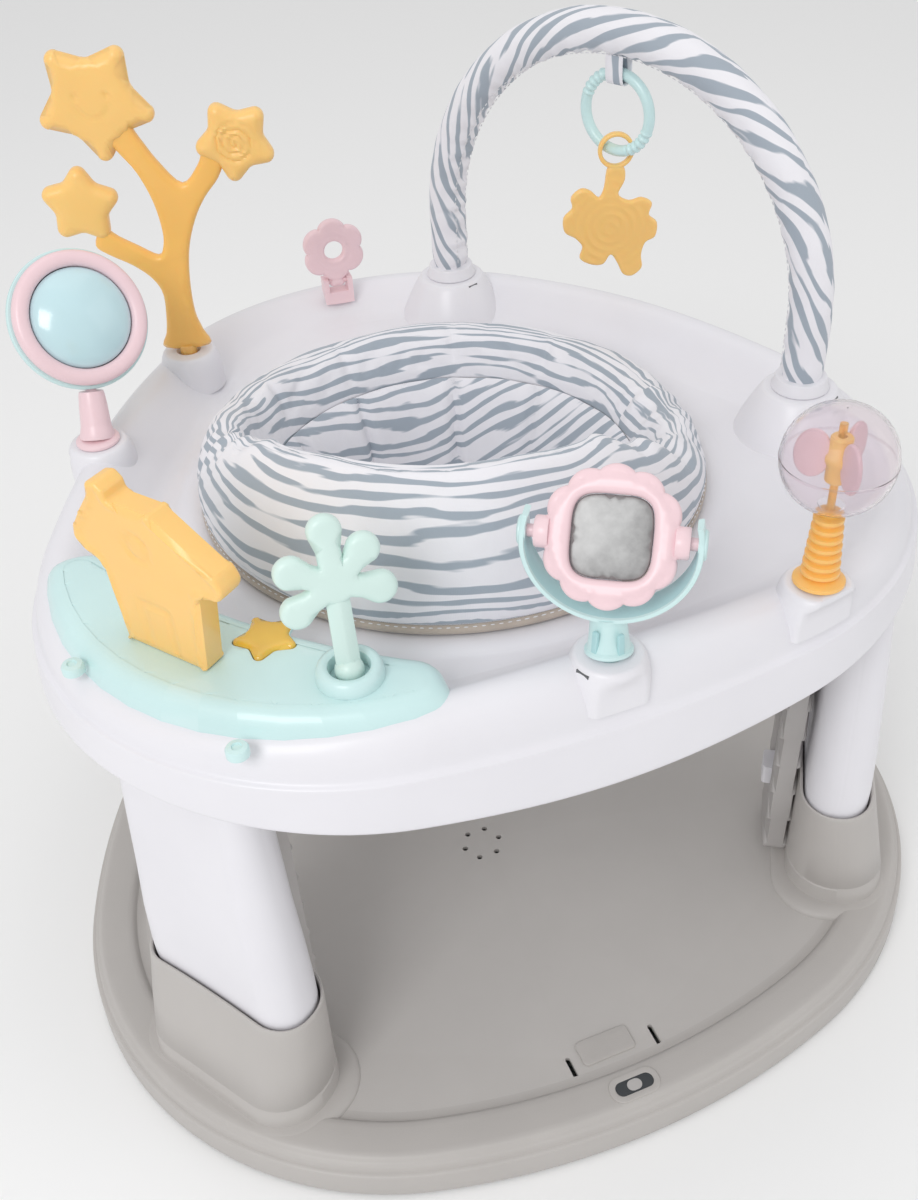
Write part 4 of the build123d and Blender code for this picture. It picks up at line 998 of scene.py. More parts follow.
# %% Tray section
# Each point of the section: how far in from the outline, how high, how much the wave lifts it.
TRAY_OUTSIDE = [(1.5, 354, 11), (0.2, 356, 11), (0, 360, 10), (1.5, 378, 6), (3.0, 391, 3), (3.6, 394, 3),
                (6.5, 396, 2), (8, 399, 1), (9.5, 408, -2), (12.5, 416, -4), (18, 423, -6), (25, 426.5, -7),
                (32, 427, -7), (39, 424.5, -7), (46, 419.5, -6), (54, 412.5, -4), (62, 406, -3),
                (70, 401.5, -1), (78, 399, 0)]
TRAY_INNER = [(220, 398.2), (216, 398), (213, 399.5), (205, 400), (186, 400), (183.5, 398), (172.2, 396),
              (172.2, 386), (175, 386), (175, 394.5), (218, 394.5)]
TRAY_UNDERSIDE = [(80, 395, 0), (64, 402, -3), (50, 411, -4), (38, 419, -6), (28, 421.5, -7), (20, 418, -6),
                  (14, 410, -3), (12, 400, 0), (7, 392.5, 2), (4.5, 376, 6), (3.4, 360, 10), (3, 355, 11)]
rings = [outline_ring(tray_columns, i, z, tray_centre, w) for i, z, w in along_section(TRAY_OUTSIDE)]
rings += [circle_ring(tray_columns, r, z, tray_centre) for r, z in TRAY_INNER]
rings += [outline_ring(tray_columns, i, z, tray_centre, w) for i, z, w in TRAY_UNDERSIDE]
tray_shell = loft("tray_shell", rings, loop=True, smooth_angle=50)
print("tray section of", len(rings), "rings")


# %% [markdown]
# Each toy and each foot of the arch stands in a round boss. The bosses near the rim are pressed back inside
# the outline, as on the real tray, where the rim's wall cuts them off.

# %% Bosses under the toys
TOY_SPOTS = {"star": (-157, 226), "dome": (-256, 108), "ball": (149, -281), "mirror": (-5, -284)}
ARCH_SIDE = 184.0
arch_middle = polar(218, 28, tray_centre)
arch_across = polar(1, 118)
arch_feet = [arch_middle + arch_across * sign * ARCH_SIDE for sign in (-1, 1)]
BOSS = [(10.2, 404), (27, 404), (27, 418), (26, 427), (24.4, 433), (23, 436), (21.6, 437.7), (20, 438),
        (10.8, 438), (10.2, 437.2)]
ARCH_BOSS = [(13.4, 396), (50, 396), (47, 404), (42, 415), (37, 425), (33, 432), (30.4, 436.2), (28.6, 437.8),
             (27.2, 438), (14, 438), (13.4, 437.2)]
bosses = [revolve("boss", standing((x, y, 0)), BOSS, loop=True) for x, y in TOY_SPOTS.values()]
bosses += [revolve("boss", standing(foot), ARCH_BOSS, loop=True) for foot in arch_feet]
RIM_WALL, RIM_TOP = 5.0, 0.428                 # room kept for the rim's wall, and the height above it, metres
for boss in bosses:
    for vertex in boss.data.vertices:
        room, out = min(((radius - (vertex.co / MM - arc_centre).dot(out), out)
                         for arc_centre, radius, out in tray_columns), key=lambda pair: pair[0])
        spare = room - (RIM_WALL if vertex.co.z < RIM_TOP else 0)
        if spare < 0:
            vertex.co += out * spare * MM
tray_shell = joined("tray_shell", [tray_shell, *bosses])
finish_piece(tray_shell, "tray", WHITE, ["tray_top"])


# %% [markdown]
# The grey base is a wide blow-moulded ring with a stepped outer edge and a flat top, and a thinner floor
# panel set into it. The same outline loft makes it, with a raised pad under each leg.

# %% Base ring
MOUTH_HALF_WIDTH = 78.0


def leg_ring(azimuth, radius, depth, width, rounding, height, dip=0.0):
    """An oblong ring square to a leg's azimuth; dip lowers its two ends."""
    matrix = standing(polar(radius, azimuth, base_centre), azimuth)
    return [matrix @ Vector((p.x, p.y, height - dip * (abs(p.y) / MOUTH_HALF_WIDTH)**2))
            for p in oblong(depth, width, rounding)]


LEG_AZIMUTHS = {"back": 90, "left": 213, "right": 327}
base_columns = outline_columns(base_centre, corner_offset=112, corner_round=287, side_round=640)
BASE_SECTION = [(3, 2.2), (0.8, 2.6), (0, 5), (0.3, 14), (0.8, 24), (1.4, 27.4), (2.6, 28.4), (4.4, 28.6),
                (5.2, 29.6), (5.6, 33.2), (6.6, 35.2), (8.4, 36.1), (9.4, 36.9), (10.4, 38.6), (12.5, 39.7),
                (16, 40), (34, 40), (37.6, 39.7), (40, 38.4), (41.2, 36.4), (42.2, 35), (45, 34.3),
                (50, 34.06), (50, 33.7), (38, 33.7), (38, 37), (13, 37), (8, 33), (4.2, 26), (3.4, 6)]
base_shell = loft("base_shell", [outline_ring(base_columns, i, z) for i, z in BASE_SECTION], loop=True)
PAD = [(0, 33), (0, 34.4), (1.2, 36.6), (4, 38.4), (8, 39.8), (12, 40.4)]
PAD_REACH, PAD_DEPTH, PAD_WIDTH, PAD_ROUND = 331, 104, 196, 44
pads = []
for azimuth in LEG_AZIMUTHS.values():
    pads.append(loft("leg_pad", [leg_ring(azimuth, PAD_REACH + inset * 0.3, PAD_DEPTH - 2 * inset,
                                          PAD_WIDTH - 2 * inset, PAD_ROUND - inset, z) for inset, z in PAD]))
base_shell = joined("base_shell", [base_shell, *pads])
finish_piece(base_shell, "base", BASE_GREY, ["base_ring"])


# %% [markdown]
# The power switch sits on the front of the ring, in a well with a grey bezel round it; a thin near-black
# plate in the well is painted shade. Behind it a flat latch tab covers the battery door's edge.

# %% Switch bezel and latch
switch_spot = middle("power_switch")
bezel = soft_plate("switch_bezel", Matrix.Translation((switch_spot.x, switch_spot.y, BASE_TOP + 0.3)),
                   oblong_outline(42, 22, 10), 1.8, 0.8, spacing=3, holes=[oblong_outline(32, 12, 5.6)])
latch = soft_plate("latch_tab", Matrix.Translation((switch_spot.x - 4, switch_spot.y + 42, FLOOR_TOP + 0.8)),
                   oblong_outline(46, 22, 4), 2.6, 1.0, spacing=4)
bezel = joined("switch_bezel", [bezel, latch])
finish_piece(bezel, "base", BASE_GREY)
# A thin near-black plate under the bezel's opening: painted shade in the switch well.
well_shade = soft_plate("switch_well_painted_shade", Matrix.Translation((switch_spot.x, switch_spot.y, BASE_TOP + 0.1)),
                  oblong_outline(33, 13, 6), 0.7, 0.2, spacing=3)
finish_piece(well_shade, "base", DARK_PLASTIC_AND_SHADE)


# %% [markdown]
# Each leg is a white moulded column that slides in a grey socket on the base. The socket's mouth dips at
# its sides, and a moulded seam runs round its foot. Both are stacks of rounded oblongs.

# %% Levels of the legs and sockets
# Each level of a leg: height, distance from the middle, depth, width, rounding.
LEG_STACK = [(72, 322, 52, 148, 24), (160, 322, 52, 147, 24), (200, 321.5, 50, 143, 23),
             (250, 320, 47, 134, 22), (300, 318.3, 44, 127, 20), (345, 316.4, 40.5, 122, 18.5),
             (385, 315, 38, 118, 17)]
# Each level of a socket: depth, width, rounding, distance from the middle, height, dip.
SOCKET_STACK = [(84, 168, 40, 332.5, 40, 0), (83, 167, 39.6, 332.3, 43, 0), (81.5, 165.5, 39, 331.8, 56, 0),
                (79.6, 163.6, 38, 331.8, 57, 0), (79.4, 163.4, 38, 331.6, 59, 0),
                (80.8, 164.8, 38.6, 331.4, 60, 0), (72, 161, 34, 327.4, 100, 1), (64.5, 158, 30, 323.8, 130, 4),
                (61.4, 156.6, 28.6, 322.5, 146, 7), (60.6, 156, 28, 322, 149.4, 7),
                (59.2, 154.6, 27.4, 322, 150, 7),
                (56.4, 152.2, 26.2, 322, 149.4, 7), (55, 151, 25.5, 322, 147, 7),
                (54.6, 150.6, 25.3, 322, 80, 0), (54.4, 150.4, 25, 322, 44, 0)]
print(len(LEG_STACK), "levels of a leg,", len(SOCKET_STACK), "of a socket")


# %% [markdown]
# A slotted post on the inner side of each leg holds the height lock, and a steel spring inside each socket
# carries the tray. The springs shorten as the tray bounces; each rides on the carriages' body and gets a mesh
# of its own.

# %% Legs, sockets, posts and springs
POST_REACH, POST_MIDDLE, SLOT_DROP = 281, 187.5, 38.5
COIL_REACH, COIL_RADIUS, COIL_WIRE, COIL_FOOT, COIL_RISE = 322, 9.4, 1.5, 131.6, 56.5
COIL_TURNS, COIL_STEPS = 8, 20
for side, azimuth in LEG_AZIMUTHS.items():
    leg = loft(f"leg_shell_{side}", [leg_ring(azimuth, r, d, w, c, z) for z, r, d, w, c in LEG_STACK])
    finish_piece(leg, "tray", WHITE, [f"leg_{side}"])
    socket = loft(f"socket_shell_{side}", [leg_ring(azimuth, r, d, w, c, z, dip)
                                           for d, w, c, r, z, dip in SOCKET_STACK], loop=True)
    finish_piece(socket, "base", BASE_GREY, [f"leg_socket_{side}"])
    post_plane = facing(polar(POST_REACH, azimuth, base_centre) + up(POST_MIDDLE), azimuth + 180)
    post = soft_plate(f"height_post_{side}", post_plane, oblong_outline(70, 295, 12), 22, 4, spacing=9,
                      holes=[[(x, y - SLOT_DROP) for x, y in oblong_outline(28, 106, 8)]])
    finish_piece(post, "base", POST_GREY)
    coil = [polar(COIL_REACH, azimuth, base_centre) + polar(COIL_RADIUS, 360 * k / COIL_STEPS)
            + Vector((0, 0, COIL_FOOT + COIL_RISE * k / (COIL_TURNS * COIL_STEPS)))
            for k in range(COIL_TURNS * COIL_STEPS + 1)]
    spring = tube(f"spring_coil_{side}", coil, COIL_WIRE, sides=10)
    finish_piece(spring, "carriages", STEEL, ["bounce_springs"] if side == "back" else ())
    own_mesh(spring)


# %% [markdown]
# The padded seat surround is a stuffed cotton ring: high at the child's back, low in front. A table says
# how high the crest stands at each azimuth, and an ease blends from one height to the next.

# %% Crest of the seat cover
SEAT_BACK = 262.0                              # the azimuth of the child's back
COVER_FOOT = 411.0                             # the height at which the cover leaves the ring


def ease(share):
    share = min(1.0, max(0.0, share))
    return share * share * (3 - 2 * share)


def away(azimuth, other):
    return abs((azimuth - other + 180) % 360 - 180)


# How high the crest stands at each azimuth: tallest behind the child's back, lowest at the far side.
CREST_HEIGHTS = [(-8, 433), (30, 438), (110, 441), (140, 450), (165, 465), (180, 483), (190, 499), (202, 511),
                 (225, 518), (262, 519), (285, 514), (302, 490), (318, 460), (335, 440), (352, 433), (390, 438)]


def crest_height(azimuth):
    azimuth = azimuth % 360
    for (a0, h0), (a1, h1) in zip(CREST_HEIGHTS, CREST_HEIGHTS[1:]):
        if azimuth <= a1:
            return h0 + (h1 - h0) * ease((azimuth - a0) / (a1 - a0))
    return CREST_HEIGHTS[-1][1]


def crest_radius(azimuth):
    """The tall part leans in over the child's back; the low part lies flatter."""
    return 174 - 14 * ease((crest_height(azimuth) - 440) / 75)


print("crest from", crest_height(352), "to", crest_height(SEAT_BACK))


# %% [markdown]
# One section runs from the foot over the crest to the inner edge. Noise puffs it, folds gather it at both
# ends of the high part, and four upright seams quilt the inner wall.

# %% Section, gathers and quilting
# Across from the foot to the crest (0 to 1), then from the crest to the inner edge (1 to 2), and the rise.
SEAT_PROFILE = [(0, 0), (0.02, 0.16), (0.1, 0.36), (0.22, 0.58), (0.4, 0.78), (0.64, 0.93), (0.86, 0.99),
                (1.0, 1.0), (1.14, 0.985), (1.32, 0.92), (1.5, 0.78), (1.66, 0.56), (1.8, 0.3), (1.92, 0.06),
                (2.0, -0.12)]
SEAT_COLUMNS = 300
profile_shape = along_section(SEAT_PROFILE, steps=4)
GATHERS = (171.0, 352.0)                       # azimuths of the gathered seams
QUILTS = (38.0, 68.0, 103.0, 132.0)            # azimuths of the quilting seams
FOOT_RADIUS, INNER_RADIUS = 198, 148
TUCK = 70                                      # how far the inner edge is tucked down


def seat_point(azimuth, shape, share):
    """A point of the stuffed cover: its plain section, then puffs, gathers and seams."""
    across, rise = shape
    peak = crest_radius(azimuth)
    if across < 1:
        radius = FOOT_RADIUS + (peak - FOOT_RADIUS) * across
    else:
        radius = peak + (INNER_RADIUS - peak) * (across - 1)
    z = COVER_FOOT + rise * (crest_height(azimuth) - COVER_FOOT) if rise > 0 else COVER_FOOT + TUCK * rise
    outer = ease(1.5 - across)
    inner = 1 - outer
    held = sin(pi * min(1, share * 1.02))
    swell = 3.4 * noise.noise(Vector((azimuth / 17, share * 3.1, 1.7))) * held
    swell += 1.5 * noise.noise(Vector((azimuth / 5.5, share * 2.0, 9.2))) * held
    fold = 0.0
    for seam in GATHERS:
        near = away(azimuth, seam)
        swing = 1.9 * cos(near * 1.15) * exp(-(near / 17)**2)
        fold += swing * held - 6.5 * exp(-(near / 2.2)**2) * held
    for seam in QUILTS:
        near = away(azimuth, seam)
        fold += inner * (2.6 * exp(-(near / 11)**2) - 6.5 * exp(-(near / 1.6)**2)) * held
    shift = swell + fold
    radius += shift * (outer * 0.8 - inner * 0.8)
    z += 0.45 * shift * sin(pi * min(1, rise))
    return tray_centre + polar(radius, azimuth) + up(z)


print("a point on the crest:", seat_point(SEAT_BACK, (1.0, 1.0), 0.5))


# %% [markdown]
# The grid carries the cloth's own UVs, in metres of cloth, so the stripes follow the surface and the cover
# can be inflated without remeshing. A flat band closes it underneath.

# %% Seat cover as a grid
UNDERSIDE = [(150, 401.4), (156, 401.2), (160, 405.6), (186, 405.6), (195, 407)]    # radius, height
CLOTH_RADIUS = 0.165                           # metres; the radius at which the cloth is not stretched
points, uvs = [], []
for row, shape in enumerate(profile_shape):
    share = row / (len(profile_shape) - 1)
    for column in range(SEAT_COLUMNS + 1):
        azimuth = 360 * column / SEAT_COLUMNS
        points.append(seat_point(azimuth % 360, shape, share))
        uvs.append((radians(azimuth) * CLOTH_RADIUS,
                    share * (0.095 + 2 * (crest_height(azimuth) - COVER_FOOT) * MM)))
for radius, height in UNDERSIDE:
    for column in range(SEAT_COLUMNS + 1):
        azimuth = 360 * column / SEAT_COLUMNS
        points.append(tray_centre + polar(radius, azimuth) + up(height))
        uvs.append((radians(azimuth) * CLOTH_RADIUS, 0.3 + (radius - 120) * MM))
cover_faces = grid_faces(len(profile_shape) + len(UNDERSIDE), SEAT_COLUMNS + 1, close_rows=True,
                         close_columns=False)
seat_cover = new_mesh("seat_cover_cotton", points, cover_faces, uvs, smooth_angle=180)
close_seam(seat_cover)
face_outwards(seat_cover)
smooth(seat_cover, 180)
print("seat cover of", len(seat_cover.data.vertices), "points")


# %% [markdown]
# The cover is then blown up like the stuffed cushion it is. Its lower edges stay pinned, pressure
# fills the rest, and the cloth finds its own small wrinkles. The travel is capped so that it keeps clear of
# the rim and the toys.

# %% Cloth for the cover
def stuffed(piece, pinned, frames=20, pressure=4.0, cap=4.0):
    """Inflates a closed cloth for some frames, caps how far it moved, and keeps the result."""
    rest = np.empty(len(piece.data.vertices) * 3)
    piece.data.vertices.foreach_get("co", rest)
    rest = rest.reshape(-1, 3)
    group = piece.vertex_groups.new(name="pinned")
    group.add([int(i) for i in np.nonzero(pinned(rest))[0]], 1.0, "REPLACE")
    cloth = piece.modifiers.new("cloth", "CLOTH")
    settings = cloth.settings
    settings.quality = 6
    settings.mass = 0.25
    settings.tension_stiffness = 12
    settings.compression_stiffness = 12
    settings.shear_stiffness = 6
    settings.bending_stiffness = 0.6
    settings.vertex_group_mass = "pinned"
    settings.use_pressure = True
    settings.uniform_pressure_force = pressure
    settings.effector_weights.gravity = 0
    settings.shrink_min = -0.012
    cloth.collision_settings.use_collision = False
    cloth.point_cache.frame_start = 1
    cloth.point_cache.frame_end = frames
    for frame_number in range(1, frames + 1):
        scene.frame_set(frame_number)
    shaped = piece.evaluated_get(bpy.context.evaluated_depsgraph_get()).to_mesh()
    moved = np.empty(len(rest) * 3)
    shaped.vertices.foreach_get("co", moved)
    moved = moved.reshape(-1, 3)
    travel = moved - rest
    size = np.linalg.norm(travel, axis=1)
    size = np.where(np.isfinite(size), size, 0)
    factor = np.minimum(1, cap * MM / np.maximum(size, 1e-9))[:, None]
    kept = np.where(np.isfinite(travel), travel, 0) * factor
    piece.modifiers.remove(cloth)
    piece.vertex_groups.remove(group)
    piece.data.vertices.foreach_set("co", (rest + kept).ravel())
    piece.data.update()
    scene.frame_set(1)
    print(piece.name, "inflated by up to", round(float(size.max()) / MM, 1), "mm")


def lower_edges(rest):
    flat = np.hypot(rest[:, 0] - tray_centre.x * MM, rest[:, 1] - tray_centre.y * MM)
    return (rest[:, 2] < 0.4125) | ((flat < 0.151) & (rest[:, 2] < 0.418))


stuffed(seat_cover, lower_edges)
finish_piece(seat_cover, "seat", ZEBRA_SEAT, ["seat_cover"])


# %% [markdown]
# A beige piping cord is sewn round the foot of the cover, as a closed tube.

# %% Piping
piping_path = [tray_centre + polar(195.4, 2 * k) + up(405) for k in range(180)]
piping = tube("seat_piping_cord", piping_path, 4.1, sides=14, closed=True)
finish_piece(piping, "seat", PIPING, ["seat_piping"])


# %% [markdown]
# Rows of stitches hold the piping and close the sleeve's seam. They repeat along a path, so Geometry Nodes
# lays them: it resamples the path at the stitch spacing, turns one stitch along the tangent at each point,
# and varies its length a little.

# %% Stitch tree
def stitch_tree():
    tree = bpy.data.node_groups.new("stitches_along_a_path", "GeometryNodeTree")
    face = tree.interface
    face.new_socket(name="Geometry", in_out="INPUT", socket_type="NodeSocketGeometry")
    for label, value in (("Spacing", 0.006), ("Stitch Length", 0.0036), ("Stitch Width", 0.0009)):
        face.new_socket(name=label, in_out="INPUT", socket_type="NodeSocketFloat").default_value = value
    face.new_socket(name="Seed", in_out="INPUT", socket_type="NodeSocketInt").default_value = 3
    face.new_socket(name="Material", in_out="INPUT", socket_type="NodeSocketMaterial")
    face.new_socket(name="Geometry", in_out="OUTPUT", socket_type="NodeSocketGeometry")
    entry = tree.nodes.new("NodeGroupInput")
    entry.label = "Path and stitch size"
    path = tree.nodes.new("GeometryNodeMeshToCurve")
    path.label = "Path of the seam"
    spaced = tree.nodes.new("GeometryNodeResampleCurve")
    spaced.label = "One point for each stitch"
    spaced.mode = "LENGTH"
    bead = tree.nodes.new("GeometryNodeMeshUVSphere")
    bead.label = "One stitch"
    bead.inputs["Segments"].default_value = 8
    bead.inputs["Rings"].default_value = 6
    bead.inputs["Radius"].default_value = 0.5
    way = tree.nodes.new("GeometryNodeInputTangent")
    way.label = "Way of the seam"
    turn = tree.nodes.new("FunctionNodeAlignRotationToVector")
    turn.label = "Stitch lies along the seam"
    turn.axis = "X"
    vary = tree.nodes.new("FunctionNodeRandomValue")
    vary.label = "Hand of the machine"
    vary.data_type = "FLOAT"
    vary.inputs[2].default_value = 0.86
    vary.inputs[3].default_value = 1.12
    length = tree.nodes.new("ShaderNodeMath")
    length.label = "Length of each stitch"
    length.operation = "MULTIPLY"
    size = tree.nodes.new("ShaderNodeCombineXYZ")
    size.label = "Size of each stitch"
    lay = tree.nodes.new("GeometryNodeInstanceOnPoints")
    lay.label = "Lay the stitches"
    real = tree.nodes.new("GeometryNodeRealizeInstances")
    real.label = "Make them real"
    paint = tree.nodes.new("GeometryNodeSetMaterial")
    paint.label = "Thread"
    leave = tree.nodes.new("NodeGroupOutput")
    leave.label = "Row of stitches"
    frame_nodes(tree, "Path", [path, spaced], -900)
    frame_nodes(tree, "Direction", [way, turn], -600)
    frame_nodes(tree, "Stitch", [bead, vary, length, size], -300)
    frame_nodes(tree, "Result", [lay, real, paint], 0)
    entry.location = (-1200, 0)
    leave.location = (300, 0)
    links = tree.links
    links.new(entry.outputs["Geometry"], path.inputs["Mesh"])
    links.new(path.outputs["Curve"], spaced.inputs["Curve"])
    links.new(entry.outputs["Spacing"], spaced.inputs["Length"])
    links.new(way.outputs["Tangent"], turn.inputs["Vector"])
    links.new(entry.outputs["Seed"], vary.inputs["Seed"])
    links.new(vary.outputs[1], length.inputs[0])
    links.new(entry.outputs["Stitch Length"], length.inputs[1])
    links.new(length.outputs["Value"], size.inputs["X"])
    links.new(entry.outputs["Stitch Width"], size.inputs["Y"])
    links.new(entry.outputs["Stitch Width"], size.inputs["Z"])
    links.new(spaced.outputs["Curve"], lay.inputs["Points"])
    links.new(bead.outputs["Mesh"], lay.inputs["Instance"])
    links.new(turn.outputs["Rotation"], lay.inputs["Rotation"])
    links.new(size.outputs["Vector"], lay.inputs["Scale"])
    links.new(lay.outputs["Instances"], real.inputs["Geometry"])
    links.new(real.outputs["Geometry"], paint.inputs["Geometry"])
    links.new(entry.outputs["Material"], paint.inputs["Material"])
    links.new(paint.outputs["Geometry"], leave.inputs["Geometry"])
    return tree


STITCHES = stitch_tree()
print("stitch tree of", len(STITCHES.nodes), "nodes")


# %% [markdown]
# A row of stitches needs its path as a mesh of edges. The modifier's inputs are set by each socket's
# identifier, and the evaluated result is kept as a plain mesh.

# %% Rows of stitches
STITCH_LENGTH, STITCH_WIDTH, STITCH_SEED = 3.6, 0.9, 7


def stitched(name, path, closed, body, spacing=6.0):
    """A row of stitches along a path in millimetres, as one plain mesh on a body."""
    count = len(path)
    mesh = bpy.data.meshes.new(name + "_path")
    edges = [(k, (k + 1) % count) for k in range(count if closed else count - 1)]
    mesh.from_pydata([Vector(p) * MM for p in path], edges, [])
    guide = linked(name + "_path", mesh)
    modifier = guide.modifiers.new("stitches", "NODES")
    modifier.node_group = STITCHES
    values = {"Spacing": spacing * MM, "Stitch Length": STITCH_LENGTH * MM,
              "Stitch Width": STITCH_WIDTH * MM, "Seed": STITCH_SEED, "Material": THREAD}
    for socket in STITCHES.interface.items_tree:
        if socket.in_out == "INPUT" and socket.name in values:
            modifier[socket.identifier] = values[socket.name]
    evaluated = guide.evaluated_get(bpy.context.evaluated_depsgraph_get())
    row = linked(name, bpy.data.meshes.new_from_object(evaluated))
    bpy.data.objects.remove(guide)
    smooth(row, 60)
    return finish_piece(row, body, THREAD)


stitched("piping_stitches", [tray_centre + polar(198.5, 3 * k) + up(408.1) for k in range(120)],
         True, "seat")


# %% [markdown]
# The sling is a bowl of the same striped cotton, hung inside the ring, with two leg holes bound in beige.
# It starts as a flat sheet with holes, which is then let down to the bowl's own curve.

# %% Shape of the sling
BOWL = [(0, 247), (30, 249), (55, 255), (80, 268), (98, 285), (110, 303), (119, 325), (127, 350), (134, 375),
        (141, 392), (147.5, 402.5)]
BOWL_RADIUS, LEG_HOLE_RADIUS = 147.5, 41.0
LEG_HOLE_APART, LEG_HOLE_FORWARD = 56.0, 18.0


def bowl_height(radius):
    for (r0, z0), (r1, z1) in zip(BOWL, BOWL[1:]):
        if radius <= r1:
            return z0 + (z1 - z0) * (radius - r0) / (r1 - r0)
    return BOWL[-1][1]


hole_line = polar(1, SEAT_BACK + 90)
hole_middle = polar(LEG_HOLE_FORWARD, SEAT_BACK + 180)
leg_holes = [hole_middle + hole_line * LEG_HOLE_APART * sign for sign in (-1, 1)]
sling = soft_plate("seat_sling_cotton", standing(tray_centre), circle_outline(BOWL_RADIUS, count=150), 3.0, 1.2,
                   holes=[circle_outline(LEG_HOLE_RADIUS, (h.x, h.y), 48) for h in leg_holes], spacing=3.6)
layer = sling.data.uv_layers.new(name="surface")
for loop in sling.data.loops:
    at = sling.data.vertices[loop.vertex_index].co / MM - tray_centre
    depth = bowl_height(hypot(at.x, at.y))
    layer.data[loop.index].uv = (at.x * MM * 1.1, at.y * MM * 1.1 + depth * MM * 0.8)
print("sling of", len(sling.data.vertices), "points, still flat")


# %% [markdown]
# Each point drops to the bowl's height with a small wrinkle. On the steep wall the quilting seams of the
# cover go on: they pull the cloth in along four lines.

# %% Sling let down
for vertex in sling.data.vertices:
    at = vertex.co / MM - tray_centre
    spread, azimuth = hypot(at.x, at.y), degrees(atan2(at.y, at.x))
    wrinkle = 1.4 * noise.noise(Vector((vertex.co.x * 38, vertex.co.y * 38, 0.5)))
    steep = ease((spread - 96) / 20) * ease((147 - spread) / 4)
    pull = 0.0
    for seam in QUILTS:
        near = away(azimuth, seam)
        pull += steep * (3.0 * exp(-(near / 11)**2) - 7.0 * exp(-(near / 1.7)**2))
    vertex.co.x -= at.x / max(spread, 1) * pull * MM
    vertex.co.y -= at.y / max(spread, 1) * pull * MM
    vertex.co.z += (bowl_height(spread) + wrinkle) * MM
smooth(sling, 60)
for number, h in enumerate(leg_holes):
    rim_path = []
    for k in range(72):
        p = polar(LEG_HOLE_RADIUS + 0.5, 5 * k, (h.x, h.y, 0))
        rim_path.append(tray_centre + Vector((p.x, p.y, bowl_height(hypot(p.x, p.y)))))
    binding = tube(f"leg_hole_binding_{number + 1}", rim_path, 2.6, sides=10, closed=True)
    finish_piece(binding, "seat", PIPING)
finish_piece(sling, "seat", ZEBRA_SEAT, ["seat_sling"])


# %% [markdown]
# Six plastic clips hook the sling's hem to the turning ring.

# %% Sling clips
tabs = []
for number in range(6):
    tab_plane = facing(polar(154, 60 * number + 22, tray_centre) + up(386), 60 * number + 202)
    tabs.append(soft_plate("sling_tab", tab_plane, oblong_outline(18, 9, 3), 5, 1.4, spacing=3))
tabs = joined("sling_tabs", tabs)
finish_piece(tabs, "seat", POST_GREY, ["sling_clips"])


# %% [markdown]
# The toy arch is a plastic tube inside a padded zebra sleeve, plugged into two collars on the tray. Its line
# is two straight runs and a half circle, measured by the run along it.

# %% Line of the arch
ARCH_STRAIGHT = 60.0
arch_plane = facing(arch_middle + up(SOCKET_TOP), 28)


def arch_frame(run):
    """Centre, outward and run direction at a distance along the arch, in the arch's own plane."""
    bend = pi * ARCH_SIDE
    if run < ARCH_STRAIGHT:
        return Vector((-ARCH_SIDE, run, 0)), Vector((-1, 0, 0))
    if run > ARCH_STRAIGHT + bend:
        return Vector((ARCH_SIDE, 2 * ARCH_STRAIGHT + bend - run, 0)), Vector((1, 0, 0))
    angle = pi - (run - ARCH_STRAIGHT) / ARCH_SIDE
    out = Vector((cos(angle), sin(angle), 0))
    return Vector((0, ARCH_STRAIGHT, 0)) + out * ARCH_SIDE, out


ARCH_LENGTH = 2 * ARCH_STRAIGHT + pi * ARCH_SIDE
print("arch", round(ARCH_LENGTH), "mm long")


# %% [markdown]
# The sleeve is a tube of cloth over padding. It is sewn shut along its inner side, where it puckers, and it
# narrows at both ends. Its UVs run along it and round it, in metres of cloth.

# %% Padded sleeve
SLEEVE_START = 10.5
SLEEVE_ROWS, SLEEVE_SIDES = 330, 40
SLEEVE_RADIUS = 16.6
points, uvs = [], []
for row in range(SLEEVE_ROWS + 1):
    run = SLEEVE_START + (ARCH_LENGTH - 2 * SLEEVE_START) * row / SLEEVE_ROWS
    centre_point, out = arch_frame(run)
    from_end = min(run - SLEEVE_START, ARCH_LENGTH - SLEEVE_START - run)
    for step in range(SLEEVE_SIDES + 1):
        angle = 2 * pi * step / SLEEVE_SIDES
        seam = exp(-((pi - angle) / 0.35)**2)
        pucker = exp(-((pi - angle) / 0.9)**2)
        size = SLEEVE_RADIUS + 0.8 * noise.noise(Vector((run / 24, cos(angle) * 1.3,
                                                         sin(angle) * 1.3)))
        wave = sin(run / 2.9 + 1.8 * noise.noise(Vector((run / 18, 4.0, 0))))
        size += pucker * 1.1 * wave - 1.6 * seam
        size -= 1.2 * exp(-(from_end / 5)**2)
        local = centre_point + out * cos(angle) * size + up(1) * sin(angle) * size
        points.append(arch_plane @ local)
        uvs.append((run * MM, angle * SLEEVE_RADIUS * MM))
faces = grid_faces(SLEEVE_ROWS + 1, SLEEVE_SIDES + 1, close_columns=False)
ring_size = SLEEVE_SIDES + 1
faces.append(tuple(reversed(range(SLEEVE_SIDES))))
faces.append(tuple(range(SLEEVE_ROWS * ring_size, SLEEVE_ROWS * ring_size + SLEEVE_SIDES)))
sleeve = new_mesh("arch_sleeve_cotton", points, faces, uvs, smooth_angle=180)
close_seam(sleeve)
face_outwards(sleeve)
finish_piece(sleeve, "arch", ZEBRA_SLEEVE, ["arch_sleeve"])


# %% [markdown]
# Two rows of stitches run beside the sleeve's seam. At each foot a turned collar plugs into the tray.

